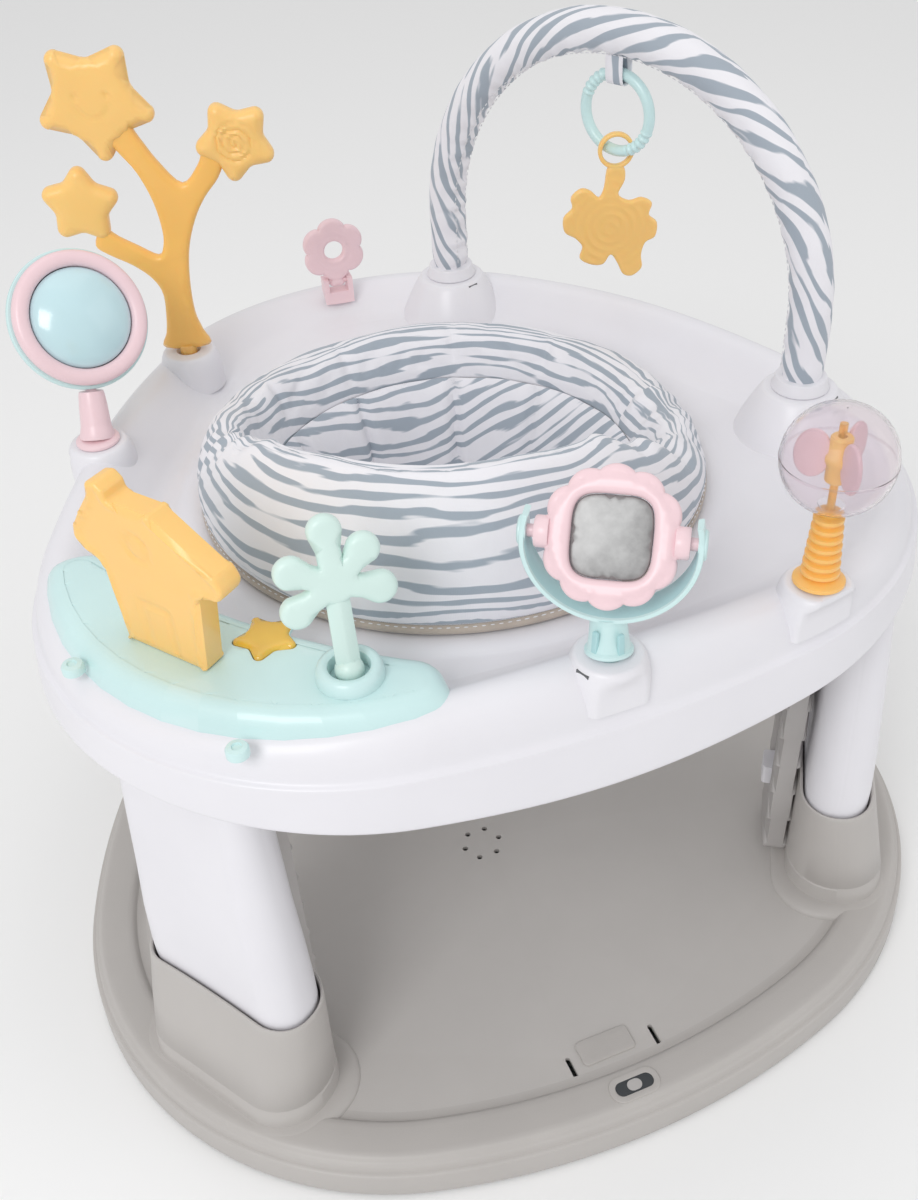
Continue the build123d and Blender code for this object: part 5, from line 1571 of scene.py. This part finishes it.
# %% Sleeve stitches and collars
SEAM_TURN, SEAM_REACH = 0.42, 16.9             # how far beside the seam, in radians, and from the arch's line
for number, side_turn in enumerate((-SEAM_TURN, SEAM_TURN)):
    seam_path = []
    for k in range(161):
        centre_point, out = arch_frame(SLEEVE_START + 8 + (ARCH_LENGTH - 2 * SLEEVE_START - 16) * k / 160)
        local = centre_point - out * cos(side_turn) * SEAM_REACH
        local = local + up(1) * sin(side_turn) * SEAM_REACH
        seam_path.append(arch_plane @ local)
    stitched(f"sleeve_stitches_{number + 1}", seam_path, False, "arch", spacing=5.0)

COLLAR = [(12, -20), (12.2, -21), (12.2, 0.3), (22.4, 0.3), (23, 1), (23, 2.2), (21.2, 5), (20.6, 9.4),
          (20, 10.4), (17.6, 10.8), (9, 10.8)]
collars = [revolve(f"arch_collar_{k + 1}", standing(foot + up(SOCKET_TOP)), COLLAR)
           for k, foot in enumerate(arch_feet)]
collars = joined("arch_collars", collars)
finish_piece(collars, "arch", WHITE, ["arch_plugs"])


# %% [markdown]
# A strap of the same cotton is sewn to the top of the sleeve and passes under the link ring.

# %% Toy strap
RING_CENTRE, RING_RADIUS, RING_WIRE = 184.0, 30.0, 4.6
STRAP_TOP = ARCH_STRAIGHT + ARCH_SIDE - 15.5
STRAP_LOW = RING_CENTRE + RING_RADIUS - RING_WIRE - 3.6
strap_loop = [(-6.4, STRAP_TOP), (-6.6, STRAP_TOP - 6), (-6.2, STRAP_LOW + 6), (-4.4, STRAP_LOW + 1.4),
              (0, STRAP_LOW), (4.4, STRAP_LOW + 1.4), (6.2, STRAP_LOW + 6), (6.6, STRAP_TOP - 6),
              (6.4, STRAP_TOP)]
STRAP_SECTION = [(-8, 0), (-7.4, 0.6), (7.4, 0.6), (8, 0), (7.4, -0.6), (-7.4, -0.6)]
strap_line = along_section(strap_loop, steps=4)
points, uvs = [], []
run = 0.0
for k, (z, y) in enumerate(strap_line):
    run += (strap_line[k] - strap_line[k - 1]).length if k else 0
    way = strap_line[min(k + 1, len(strap_line) - 1)] - strap_line[max(k - 1, 0)]
    normal = Vector((-way.y, way.x)).normalized()
    for x, thick in STRAP_SECTION:
        points.append(arch_plane @ Vector((x, y + normal.y * thick, z + normal.x * thick)))
        uvs.append((x * MM, run * MM))
sides = len(STRAP_SECTION)
faces = grid_faces(len(strap_line), sides)
faces.append(tuple(reversed(range(sides))))
faces.append(tuple(range((len(strap_line) - 1) * sides, len(strap_line) * sides)))
strap = new_mesh("toy_strap_cotton", points, faces, uvs, smooth_angle=50)
face_outwards(strap)
finish_piece(strap, "arch", ZEBRA_STRAP, ["toy_strap"])


# %% [markdown]
# The link ring is a teething ring of aqua plastic with two rows of small ridges to bite on.

# %% Link ring
def ring_size_at(share):
    turn = share * 360
    ridged = 1.0 if 20 < turn % 180 < 70 else 0.0
    return RING_WIRE + 0.55 * ridged * sin(radians(turn * 36)) - 0.2


ring_path = [arch_plane @ Vector((RING_RADIUS * cos(2 * pi * k / 360),
                                  RING_CENTRE + RING_RADIUS * sin(2 * pi * k / 360), 0))
             for k in range(360)]
link_ring = tube("link_ring_body", ring_path, ring_size_at, sides=18, closed=True)
finish_piece(link_ring, "ring", AQUA, ["link_ring"])


# %% [markdown]
# The teether under the ring is a flat yellow leaf cluster with a loop at its top and rings pressed into it.

# %% Teether
leaf_plane = facing(arch_plane @ Vector((0, RING_CENTRE - RING_RADIUS, 0)), 250)
LEAF = [(-6, -13), (6, -13), (8, -24), (3, -36), (12, -42), (22, -40), (31, -45), (29, -55), (36, -62),
        (35, -74), (27, -79), (24, -90), (25, -101), (17, -108), (9, -106), (4, -96), (-2, -88), (-8, -96),
        (-18, -96), (-28, -90), (-26, -80), (-32, -72), (-41, -66), (-42, -54), (-35, -46), (-36, -37),
        (-28, -30), (-20, -32), (-13, -38), (-9, -30)]


def bite_rings(x, y, d):
    return 0.9 * ease((d - 3.0) / 2.0) * (0.5 + 0.5 * sin(hypot(x + 3, y + 64) * 0.9))


leaf = soft_plate("teether_leaf_body", leaf_plane, smooth_outline(LEAF, 4), 6.4, 2.6, spacing=2.4, crown=0.3,
                  carve=bite_rings)
loop = soft_plate("teether_loop", leaf_plane, circle_outline(14.6, count=48), 6.2, 1.5,
                  holes=[circle_outline(11.3, count=40)])
leaf = joined("teether_leaf_body", [leaf, loop])
finish_piece(leaf, "teether_leaf", HONEY, ["teether"])


# %% [markdown]
# The star tree is a flat yellow trunk with three branches, moulded in one outline, on a round plug.

# %% Trunk of the star tree
star_foot = Vector((*TOY_SPOTS["star"], SOCKET_TOP + 3.8))
tree_plane = facing(star_foot, 252)


TRUNK = [(-19, 0), (-16, 14), (-13.5, 27), (-11.6, 50), (-17.5, 65), (-31, 78), (-49, 89), (-58, 98),
         (-50, 112), (-38, 103), (-24, 94), (-9, 85), (-3.5, 92), (-1.4, 106), (-4, 131), (-12.4, 156),
         (-24, 174), (-32, 190), (-14, 198), (-5, 183), (6, 163), (22, 144), (37, 158), (44, 170),
         (57, 161), (52, 147), (38, 131), (27, 113), (17.8, 89), (13, 60), (12.2, 31), (16, 14), (19, 0)]
trunk = soft_plate("star_tree_trunk", tree_plane, smooth_outline(TRUNK, 4), 11, 4.5, spacing=4,
                   carve=lambda x, y, d: 0.8 * ease((d - 4.6) / 1.2) if 12 < y < 84 else 0.0)
trunk_plug = revolve("trunk_plug", standing(star_foot), [(7.4, -17), (7.4, 2), (6, 2.4)], segments=32)
trunk = joined("star_tree_trunk", [trunk, trunk_plug])
finish_piece(trunk, "star_tree", YELLOW, ["tree_trunk"])


# %% [markdown]
# A puffy star ends each branch: thick plates with round edges. The big one has a small face pressed into
# it, the one at the right a spiral groove, and the low one is plain.

# %% Stars
def spiral_groove(x, y, d):
    reach = hypot(x, y)
    wave = sin(reach * 1.15 + atan2(y, x))
    return 1.5 * ease(wave * 1.6) * ease((19 - reach) / 4)


def dimples(x, y, d):
    """Two small eyes and a smile."""
    eyes = min(hypot(x - 12, y - 6), hypot(x + 12, y - 6))
    smile = abs(hypot(x, y - 2) - 13) + (30 if y > -2 else 0)
    return 1.1 * (1 - ease((eyes - 1.8) / 1.6)) + 0.8 * (1 - ease((smile - 0.7) / 1.4))


# Each star: its place on the tree, how far its tips and notches reach, its turn and its relief.
TREE_STARS = [(-33, 213, 51.5, 31, 54, dimples), (70, 175, 37.5, 22.5, 44, spiral_groove),
              (-62, 132, 36.5, 22, 84, None)]
tree_stars = []
for x, y, tip, notch, turn, groove in TREE_STARS:
    tree_stars.append(soft_plate("tree_star", on_plane(tree_plane, x, y), star_outline(tip, notch, turn, 7),
                                 16, 6.5, spacing=2.2 if groove else 3.5, crown=1.0, carve=groove))
stars = joined("tree_stars_body", tree_stars)
finish_piece(stars, "star_tree", HONEY, ["tree_stars"])


# %% [markdown]
# The dome rattle: a pale aqua back shell, a pink ring that grips it, and a glossy lens that spins in the
# ring with a dark line of shadow round it. All three are turned about one axis.

# %% Dome rattle
DOME_CENTRE = Vector((-244, 143, 526))
dome_plane = facing(DOME_CENTRE, 286, 30)
DOME_BACK = [(30, -21), (44, -20), (49, -16.5), (52.5, -11.5), (54, -7), (54.2, -5), (54, -3.2), (53, -2.3),
             (46, -2.2), (44, -6), (40, -12), (28, -14)]
dome_back = revolve("dome_back_shell", dome_plane, DOME_BACK, segments=96)
finish_piece(dome_back, "dome_head", AQUA, ["dome_back"])
GRIP_RING = [(39.1, -1.8), (51, -1.8), (51.6, 0), (51.4, 4), (50.2, 6.6), (48, 7.9), (45, 8.3), (42, 7.8),
             (40, 6.4), (39.1, 4.4)]
dome_ring = revolve("dome_grip_ring", dome_plane, GRIP_RING, segments=96, loop=True)
finish_piece(dome_ring, "dome_head", PINK, ["dome_ring"])
LENS = [(38.4, -1.4), (38.5, 2.5), (38.1, 4.6), (36, 7), (31, 10.2), (25, 13), (18, 15.4), (11, 17),
        (5, 17.8), (1.5, 18)]
dome_lens = revolve("dome_lens_shell", dome_plane, LENS, segments=96, smooth_angle=70)
finish_piece(dome_lens, "dome_disc", DOME_BLUE, ["dome_lens"])


# %% [markdown]
# It stands on a pink tapering stalk with a turned foot. The cone leans to the dome; the flange stays level.

# %% Dome stalk
stalk_foot = Vector((*TOY_SPOTS["dome"], SOCKET_TOP + 0.4))
stalk_way = DOME_CENTRE - stalk_foot
stalk_matrix = along_axis(stalk_foot, stalk_way)
stalk_length = stalk_way.length - 55
STALK_CONE = [(13.4, 2), (13.6, 5), (12.6, 9), (11.9, 12), (11.7, 14), (10.9, 28), (10.1, stalk_length - 4),
              (9.4, stalk_length - 1), (4, stalk_length), (3.9, stalk_length + 15)]
STALK_FLANGE = [(9.6, -15), (9.6, 0), (16.6, 0), (17.2, 0.8), (17, 2.2), (15.4, 3.6), (12, 4.2)]
stalk = joined("dome_stalk_body", [revolve("stalk_cone", stalk_matrix, STALK_CONE, segments=48),
                                   revolve("stalk_flange", standing(stalk_foot), STALK_FLANGE, segments=48)])
finish_piece(stalk, "tray", PINK, ["dome_stalk"])


# %% [markdown]
# The pink flower flap has six round petals and a hole, with a groove round the hole. Its stem rocks on a
# pin in a small clevis.

# %% Flower flap
flower_plane = facing((5, 305, SOCKET_TOP - 12), 266)
PETALS = polar_outline(lambda angle: 25.4 + 5.0 * abs(cos(radians(3 * (angle - 30))))**0.7, 144)
flower = soft_plate("flower_head", on_plane(flower_plane, 0, 39), PETALS, 8, 3.2, spacing=2.4,
                    holes=[circle_outline(9, count=36)], crown=0.4,
                    carve=lambda x, y, d: 0.7 * (1 - ease(abs(hypot(x, y) - 14.5) - 0.8)))
stem = soft_plate("flower_stem", on_plane(flower_plane, 0, 12), rounded_outline(
    [(-7.4, -8.6, 4), (7.4, -8.6, 4), (7.4, 12, 1), (-7.4, 12, 1)]), 7.6, 2.4, spacing=2.4)
flower = joined("flower_head", [flower, stem])
finish_piece(flower, "flower_flap", PINK, ["flower"])


# %% [markdown]
# The mirror tumbles between two pivots in an aqua half-ring yoke, and the yoke turns on its socket. The yoke
# is a loft of one section round a little more than a half circle, narrower at both ends.

# %% Mirror yoke
mirror_centre = Vector((0, -273, SOCKET_TOP + 79))
MIRROR_FACES = 236                             # the azimuth that the mirror and its yoke face
mirror_plane = facing(mirror_centre, MIRROR_FACES, 36)
yoke_plane = facing(mirror_centre, MIRROR_FACES, 6)
YOKE_SECTION = [(50.6, -11), (51, -11.9), (53.4, -11.9), (54, -11), (54.2, -6), (54.2, 6), (54, 11),
                (53.4, 11.9), (51, 11.9), (50.6, 11), (50.5, 5), (50.5, -5)]
yoke_rings = []
for k in range(73):
    angle = radians(165 + 210 * k / 72)
    end = min(k, 72 - k)
    narrow = 1 - 0.45 * (1 - ease(end / 8))
    yoke_rings.append([yoke_plane @ Vector((cos(angle) * r, sin(angle) * r, z * narrow))
                       for r, z in YOKE_SECTION])
yoke = loft("mirror_yoke_arc", yoke_rings, smooth_angle=45)


def sideways(plane, sign, reach):
    """A matrix at the side of a plane, with z pointing out along the pivot axis."""
    return along_axis(plane @ Vector((sign * reach, 0, 0)), plane.to_3x3() @ Vector((sign, 0, 0)))


YOKE_BOSS = [(9.4, 0), (9.6, 1), (9.2, 4.4), (8, 5.4)]
YOKE_NECK = [(14.6, 0), (15.4, 0.8), (15.3, 2.6), (13.6, 4), (12.6, 10), (11.6, 20), (11.8, 24), (13, 26)]
yoke_boss = [revolve("yoke_boss", sideways(yoke_plane, sign, 50.2), YOKE_BOSS, segments=40) for sign in (-1, 1)]
yoke_socket = Vector((*TOY_SPOTS["mirror"], SOCKET_TOP + 0.4))
neck_matrix = along_axis(yoke_socket, yoke_plane @ Vector((0, -52.5, 0)) - yoke_socket)
yoke_neck = revolve("yoke_neck", neck_matrix, YOKE_NECK, segments=48)
yoke_plug = revolve("yoke_plug", standing((*TOY_SPOTS["mirror"], SOCKET_TOP)), [(9.6, -13), (9.6, 1), (8, 1.4)],
                    segments=32)
yoke = joined("mirror_yoke_arc", [yoke, *yoke_boss, yoke_neck, yoke_plug])
finish_piece(yoke, "mirror_swivel", AQUA, ["mirror_yoke"])


# %% [markdown]
# A darker aqua band inside the yoke is painted shade on its hollow inner face, and two small plates of the same
# colour paint the shade of two slots on its neck.

# %% Painted shade in the yoke
# A thin band of darker aqua on the yoke's inner face: painted shade.
YOKE_SHADE_SECTION = [(50.3, -9.6), (50.6, -10), (51.2, 0), (50.6, 10), (50.3, 9.6), (50.0, 0)]
yoke_shade_rings = []
for k in range(61):
    angle = radians(180 + 180 * k / 60)
    yoke_shade_rings.append([yoke_plane @ Vector((cos(angle) * r, sin(angle) * r, z))
                        for r, z in YOKE_SHADE_SECTION])
yoke_shade = loft("yoke_painted_shade", yoke_shade_rings)
# Two darker aqua plates on the neck: painted shade of its slots.
for azimuth in (MIRROR_FACES - 42, MIRROR_FACES + 42):
    slot_plane = facing(yoke_socket + up(13) + polar(11.7, azimuth), azimuth, 3)
    slot = soft_plate("yoke_slot_painted_shade", slot_plane, oblong_outline(4.4, 17, 1.4), 2.2, 0.5, spacing=2)
    yoke_shade = joined("yoke_painted_shade", [yoke_shade, slot])
finish_piece(yoke_shade, "mirror_swivel", AQUA_PAINTED_SHADE)


# %% [markdown]
# The mirror itself is a scalloped pink frame round a mottled safety mirror. The opening is a squircle: a
# circle whose sine and cosine are raised to a power below one, which pushes it out to its corners.

# %% Mirror frame and plate
def squircle(half_x, half_y, power=0.5, count=96):
    result = []
    for k in range(count):
        angle = 2 * pi * k / count
        c, s = cos(angle), sin(angle)
        result.append((half_x * copysign(abs(c)**power, c), half_y * copysign(abs(s)**power, s)))
    return result


def scallop(angle):
    swing = abs(cos(radians(6 * angle)))
    return 41.6 + 1.7 * swing**0.6 - 1.6 * (1 - swing)


FRAME_PIN = [(9.4, 0), (9.8, 1), (9.8, 7.6), (9, 8.6), (4, 8.8), (3.9, 14)]
frame_ring = soft_plate("mirror_frame_ring", mirror_plane, polar_outline(scallop, 192), 14, 4, spacing=2.6,
                        holes=[squircle(24.3, 25.3)],
                        carve=lambda x, y, d: 2.0 * ease((hypot(x, y) - 36.2) / 1.4))
frame_pins = [revolve("frame_pin", sideways(mirror_plane, sign, 37), FRAME_PIN, segments=40)
              for sign in (-1, 1)]
frame_ring = joined("mirror_frame_ring", [frame_ring, *frame_pins])
finish_piece(frame_ring, "mirror_face", PINK, ["mirror_frame"])
plate = soft_plate("mirror_plate_film", on_plane(mirror_plane, 0, 0, -1), squircle(23.9, 24.9), 6, 1.2,
                   spacing=2.6, crown=1.2)
finish_piece(plate, "mirror_face", MIRROR, ["mirror_plate"])


# %% [markdown]
# The ball spinner starts with a clear shell with a real wall: its profile runs up the outside and back down
# the inside. A fine seam runs round its middle, where the halves are welded.

# %% Clear ball
BALL_CENTRE = Vector((152, -277, SOCKET_TOP + 92))
BALL_RADIUS, BALL_WALL, BALL_MOUTH = 36.0, 1.6, 75.6    # the mouth is a latitude, in degrees below the middle
POLE_RADIUS = 0.4                              # the profile stops this short of the axis
ball_profile = []
for k in range(33):
    angle = radians(-BALL_MOUTH + (90 + BALL_MOUTH) * k / 32)
    ball_profile.append((max(BALL_RADIUS * cos(angle), POLE_RADIUS), BALL_RADIUS * sin(angle)))
shrink = (BALL_RADIUS - BALL_WALL) / BALL_RADIUS
inner_profile = [(max(shrink * r, POLE_RADIUS), shrink * z) for r, z in reversed(ball_profile)]
ball = revolve("ball_shell_clear", standing(BALL_CENTRE), ball_profile + inner_profile, segments=72,
               loop=True, smooth_angle=60)
seam = revolve("ball_seam", standing(BALL_CENTRE), [(BALL_RADIUS - 0.3, -0.9), (BALL_RADIUS + 0.25, -0.7),
                                                    (BALL_RADIUS + 0.25, 0.7), (BALL_RADIUS - 0.3, 0.9)],
               segments=72, loop=True)
ball = joined("ball_shell_clear", [ball, seam])
finish_piece(ball, "ball", CLEAR, ["ball_shell"])


# %% [markdown]
# The stalk is one turned piece with seven rings, each a little narrower than the one below. A thin pin goes
# on up through the ball.

# %% Ringed stalk
foot = Vector((*TOY_SPOTS["ball"], SOCKET_TOP + 0.4))
way = BALL_CENTRE - up(BALL_RADIUS + 2) - foot
stalk_profile = [(16.6, 0), (17.2, 0.8), (17, 3), (14, 4.4), (12, 5)]
for k in range(7):
    base_height = 6 + k * (way.length - 8) / 7
    wide = 12.6 - 0.45 * k
    stalk_profile += [(wide - 3.0, base_height), (wide, base_height + 1.4), (wide, base_height + 3.8),
                      (wide - 3.0, base_height + 5.2)]
stalk_profile += [(7.4, way.length - 1), (2.6, way.length), (2.6, way.length + 2 * BALL_RADIUS - 12)]
ball_stalk = revolve("ball_stalk_rings", along_axis(foot, way), stalk_profile, segments=48)
ball_plug = revolve("ball_plug", standing((*TOY_SPOTS["ball"], SOCKET_TOP)), [(9.6, -15), (9.6, 1), (8, 1.4)],
                    segments=32)
ball_stalk = joined("ball_stalk_rings", [ball_stalk, ball_plug])
finish_piece(ball_stalk, "tray", YELLOW, ["ball_stalk"])


# %% [markdown]
# Inside the ball three oval pink paddles turn with a yellow hub.

# %% Paddle wheel
PADDLE = [(11.5 * x, 17 * y) for x, y in circle_outline(1, count=48)]
paddles = []
for turn in (20, 140, 260):
    side = polar(1, turn)
    blade_plane = placed(BALL_CENTRE, side, up(1), side.cross(up(1)))
    paddles.append(soft_plate("paddle", on_plane(blade_plane, 16, 2), PADDLE, 3, 1.2, spacing=2.6, crown=0.3))
paddles = joined("ball_paddle_blades", paddles)
finish_piece(paddles, "paddle_wheel", PINK, ["ball_paddles"])
HUB = [(2.8, -16), (6, -16), (7, -15), (7, -4), (8.4, -2), (8.4, 2), (7, 4), (7, 15), (6, 16), (2.8, 16)]
hub = revolve("ball_paddle_hub", standing(BALL_CENTRE), HUB, segments=40, loop=True)
finish_piece(hub, "paddle_wheel", HONEY)


# %% [markdown]
# The aqua island fills the left corner of the tray. Its outline is a crescent: an outer arc, a hollow inner
# arc through three points, and round ends. It can be drawn at any inset, always with as many points.

# %% Crescent outline
island_centre = tray_centre + polar(127, 210)
END_ROUND, ARC_ROUND = 22, 1                   # the rounding at the ends, and along the arcs


def arc_through(a, b, c, count):
    """Points (x, y) on the arc from a through b to c."""
    d = 2 * (a.x * (b.y - c.y) + b.x * (c.y - a.y) + c.x * (a.y - b.y))
    aa, bb, cc = a.length_squared, b.length_squared, c.length_squared
    x = (aa * (b.y - c.y) + bb * (c.y - a.y) + cc * (a.y - b.y)) / d
    y = (aa * (c.x - b.x) + bb * (a.x - c.x) + cc * (b.x - a.x)) / d
    reach = (a - Vector((x, y, 0))).length
    start = atan2(a.y - y, a.x - x)
    sweep = (atan2(c.y - y, c.x - x) - start + pi) % (2 * pi) - pi
    halfway = Vector((x + reach * cos(start + sweep / 2), y + reach * sin(start + sweep / 2), 0))
    if (halfway - b).length > 5:
        sweep -= copysign(2 * pi, sweep)       # b lies on the other way round
    return [(x + reach * cos(start + sweep * share), y + reach * sin(start + sweep * share))
            for share in np.linspace(0, 1, count)]


def island_outline(inset):
    turn = degrees(inset / 190)
    outer = [polar(216 - inset, azimuth, island_centre)[:2]
             for azimuth in np.linspace(167 + turn, 273 - turn, 15)]
    inner = arc_through(polar(165 + inset, 274 - turn, island_centre),
                        polar(118 + inset, 219, island_centre),
                        polar(165 + inset, 166 + turn, island_centre), 13)
    corners = []
    for arc in (outer, inner):
        last = len(arc) - 1
        corners += [(x, y, END_ROUND if k in (0, last) else ARC_ROUND) for k, (x, y) in enumerate(arc)]
    return rounded_outline(corners, steps=5)


print("crescent of", len(island_outline(0)), "points")


# %% [markdown]
# The island's wall is lofted from the floor of the dish up to a gently rounded shoulder, and a plate with a
# star-shaped well closes its top. Four round clips hold it to the tray.

# %% Island
SHOULDER = [(0, 398.5), (0.6, 405), (1.6, 413), (3.2, 421), (5.2, 427), (8, 431.8), (11.5, 435), (15, 436.7),
            (18, 437)]                         # inset, height
island_skin = [[Vector((x, y, height)) for x, y in island_outline(inset)] for inset, height in SHOULDER]
STAR_SPOT = Vector((-196, -179, 0))
star_well = [(STAR_SPOT.x + x, STAR_SPOT.y + y) for x, y in star_outline(25.8, 14.6, 96, 4)]
island_top = soft_plate("island_top", Matrix.Translation((0, 0, 435.4)), island_outline(17.5), 3.0, 0.4,
                        holes=[star_well], spacing=7)
island_wall = loft("island_wall", island_skin, caps=(False, False))
CLIP = [(7.4, 0), (7.4, 4.6), (6.4, 6.2), (3.4, 6.8), (2.8, 5.6)]
clips = [revolve("island_clip", standing(spot), CLIP, segments=28) for spot in
         ((-292, -104, 430), (-316, -145, 426), (-214, -218, 430), (-237, -259, 424))]
island = joined("island_shell", [island_wall, island_top, *clips])
finish_piece(island, "tray", AQUA, ["island"])


# %% [markdown]
# The star button is a puffy mustard star that sinks in its well.

# %% Star button
star_button = soft_plate("star_button_cap", standing(STAR_SPOT + up(435.6)),
                         star_outline(24.8, 14.2, 96, 3.6), 6.8, 2.6, spacing=2.2, crown=0.5)
finish_piece(star_button, "star_key", MUSTARD, ["star_button"])


# %% [markdown]
# The house is a chunky yellow plate with a pitched roof and a chimney. It turns on a pin in the island.

# %% House
HOUSE_FACES, HOUSE_HALF_WIDTH, HOUSE_HALF_DEPTH = 216, 33, 10
HOUSE_CORNER = (-279, -143)                    # where the foot's near left corner stands
house_out = polar(1, HOUSE_FACES)
house_middle = Vector((HOUSE_CORNER[0] - house_out.y * HOUSE_HALF_WIDTH - house_out.x * HOUSE_HALF_DEPTH,
                       HOUSE_CORNER[1] + house_out.x * HOUSE_HALF_WIDTH - house_out.y * HOUSE_HALF_DEPTH, 0))
house_plane = facing(house_middle + up(SOCKET_TOP - 0.6), HOUSE_FACES)
HOUSE = [(-33, 0, 2), (33, 0, 2), (40.6, 61, 4), (58, 66, 7), (63, 74, 7), (58, 83, 7), (13, 112, 6),
         (-18, 112, 3), (-19, 119, 4), (-25, 124, 4), (-33, 122, 4), (-35, 112, 3), (-47, 96, 6), (-55, 84, 6),
         (-57, 74, 6), (-49, 66, 6), (-38.6, 62, 4)]


def house_relief(x, y, d):
    """A raised rim round the front, with a round window and a door drawn as grooves."""
    sunk = 1.2 * ease((d - 4.2) / 1.6)
    window = hypot(x + 2, y - 84)
    door = max(abs(x) - 11, abs(y - 20) - 20)
    return sunk + 1.0 * (1 - ease((abs(window - 9) - 0.8) / 1.2)) + 1.0 * (1 - ease((abs(door) - 0.8) / 1.2))


house = soft_plate("house_plate", house_plane, rounded_outline(HOUSE, 5), 2 * HOUSE_HALF_DEPTH, 2.8,
                   spacing=2.6, carve=house_relief)
house_pin = revolve("house_pin", standing(house_middle + up(430)), [(5.4, 0), (5.4, 9), (4, 9.4)],
                    segments=28)
house = joined("house_plate", [house, house_pin])
finish_piece(house, "house_figure", HONEY, ["house"])


# %% [markdown]
# The palm is a mint plate with five rounded leaves and a ball foot in a collar. Its outline asks in each
# direction how far the nearest leaf reaches, as a finger with straight sides and a round end.

# %% Palm
palm_spot = Vector((-158, -236, 0))
PALM_COLLAR = [(13, 0), (21.6, 0), (21.4, 5), (20, 8.6), (17.8, 9.9), (15.4, 9.9), (13.6, 8.6), (13, 6)]
collar_ring = revolve("palm_collar_ring", standing(palm_spot + up(437)), PALM_COLLAR, segments=56,
                      loop=True)
finish_piece(collar_ring, "tray", AQUA, ["palm_collar"])

palm_plane = facing(palm_spot + up(443), 266, 10)
PALM_LEAVES = [(44, 38), (92, 46), (152, 39), (208, 39), (-18, 39)]     # azimuth, length
PALM_HUB, LEAF_HALF, LEAF_BULGE, LEAF_TIP, LEAF_SIDE = 13.0, 7.5, 10.6, 11, 1.4


def palm_reach(angle):
    """How far the leaves reach from the hub in a direction."""
    best = PALM_HUB
    for leaf_angle, length in PALM_LEAVES:
        turn = radians((angle - leaf_angle + 180) % 360 - 180)
        if abs(turn) > LEAF_SIDE:
            continue
        along = length - LEAF_TIP
        across = along * sin(turn)
        if abs(across) < LEAF_BULGE:
            best = max(best, along * cos(turn) + sqrt(LEAF_BULGE**2 - across**2))
        if abs(sin(turn)) > 1e-6:
            side_reach = LEAF_HALF / abs(sin(turn))
            if side_reach * cos(turn) < along:
                best = max(best, side_reach)
    return best


palm_head = soft_plate("palm_head", on_plane(palm_plane, 0, 60), polar_outline(palm_reach, 260), 10, 4,
                       spacing=2.4, crown=0.6)
palm_trunk = soft_plate("palm_trunk", palm_plane, rounded_outline(
    [(-7.6, 0, 3), (7.6, 0, 3), (7.2, 62, 3), (-7.2, 62, 3)]), 9.6, 3.6, spacing=3)
PALM_BALL = [(max(9.4 * cos(radians(a)), 0.5), 9.4 * sin(radians(a)))
             for a in range(-18, 91, 9)]
palm_ball = revolve("palm_ball", standing(palm_spot + up(442)), PALM_BALL, segments=40)
palm = joined("palm_head", [palm_head, palm_trunk, palm_ball])
finish_piece(palm, "palm_figure", MINT, ["palm_tree"])


# %% [markdown]
# The other pieces are the CAD model's own solids. They keep their shape and only get a finish.

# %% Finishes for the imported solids
FINISHES = {WHITE: ["height_lock_back", "height_lock_left", "height_lock_right", "seat_track"],
            FLOOR_GREY: ["floor_panel"],
            POST_GREY: ["power_switch", "tray_frame", "seat_ring", "seat_retainer", "arch_tube"],
            RUBBER: ["rubber_feet"],
            DARK_PLASTIC_AND_SHADE: ["sound_housing", "battery_door", "speaker", "height_carriage_back", "height_carriage_left",
                   "height_carriage_right", "release_button_back", "release_button_right",
                   "release_button_mirror"],
            STEEL: ["battery_cells", "tray_screws"],
            BOARD_GREEN: ["circuit_board"],
            PINK: ["flower_clevis"]}
for material, names in FINISHES.items():
    for name in names:
        node = nodes_of_frame[name]
        if not node.material_slots:
            print(name, "has no material slot")
        for material_slot in node.material_slots:
            material_slot.link = "OBJECT"
            material_slot.material = material
print(sum(len(names) for names in FINISHES.values()), "packed solids finished")
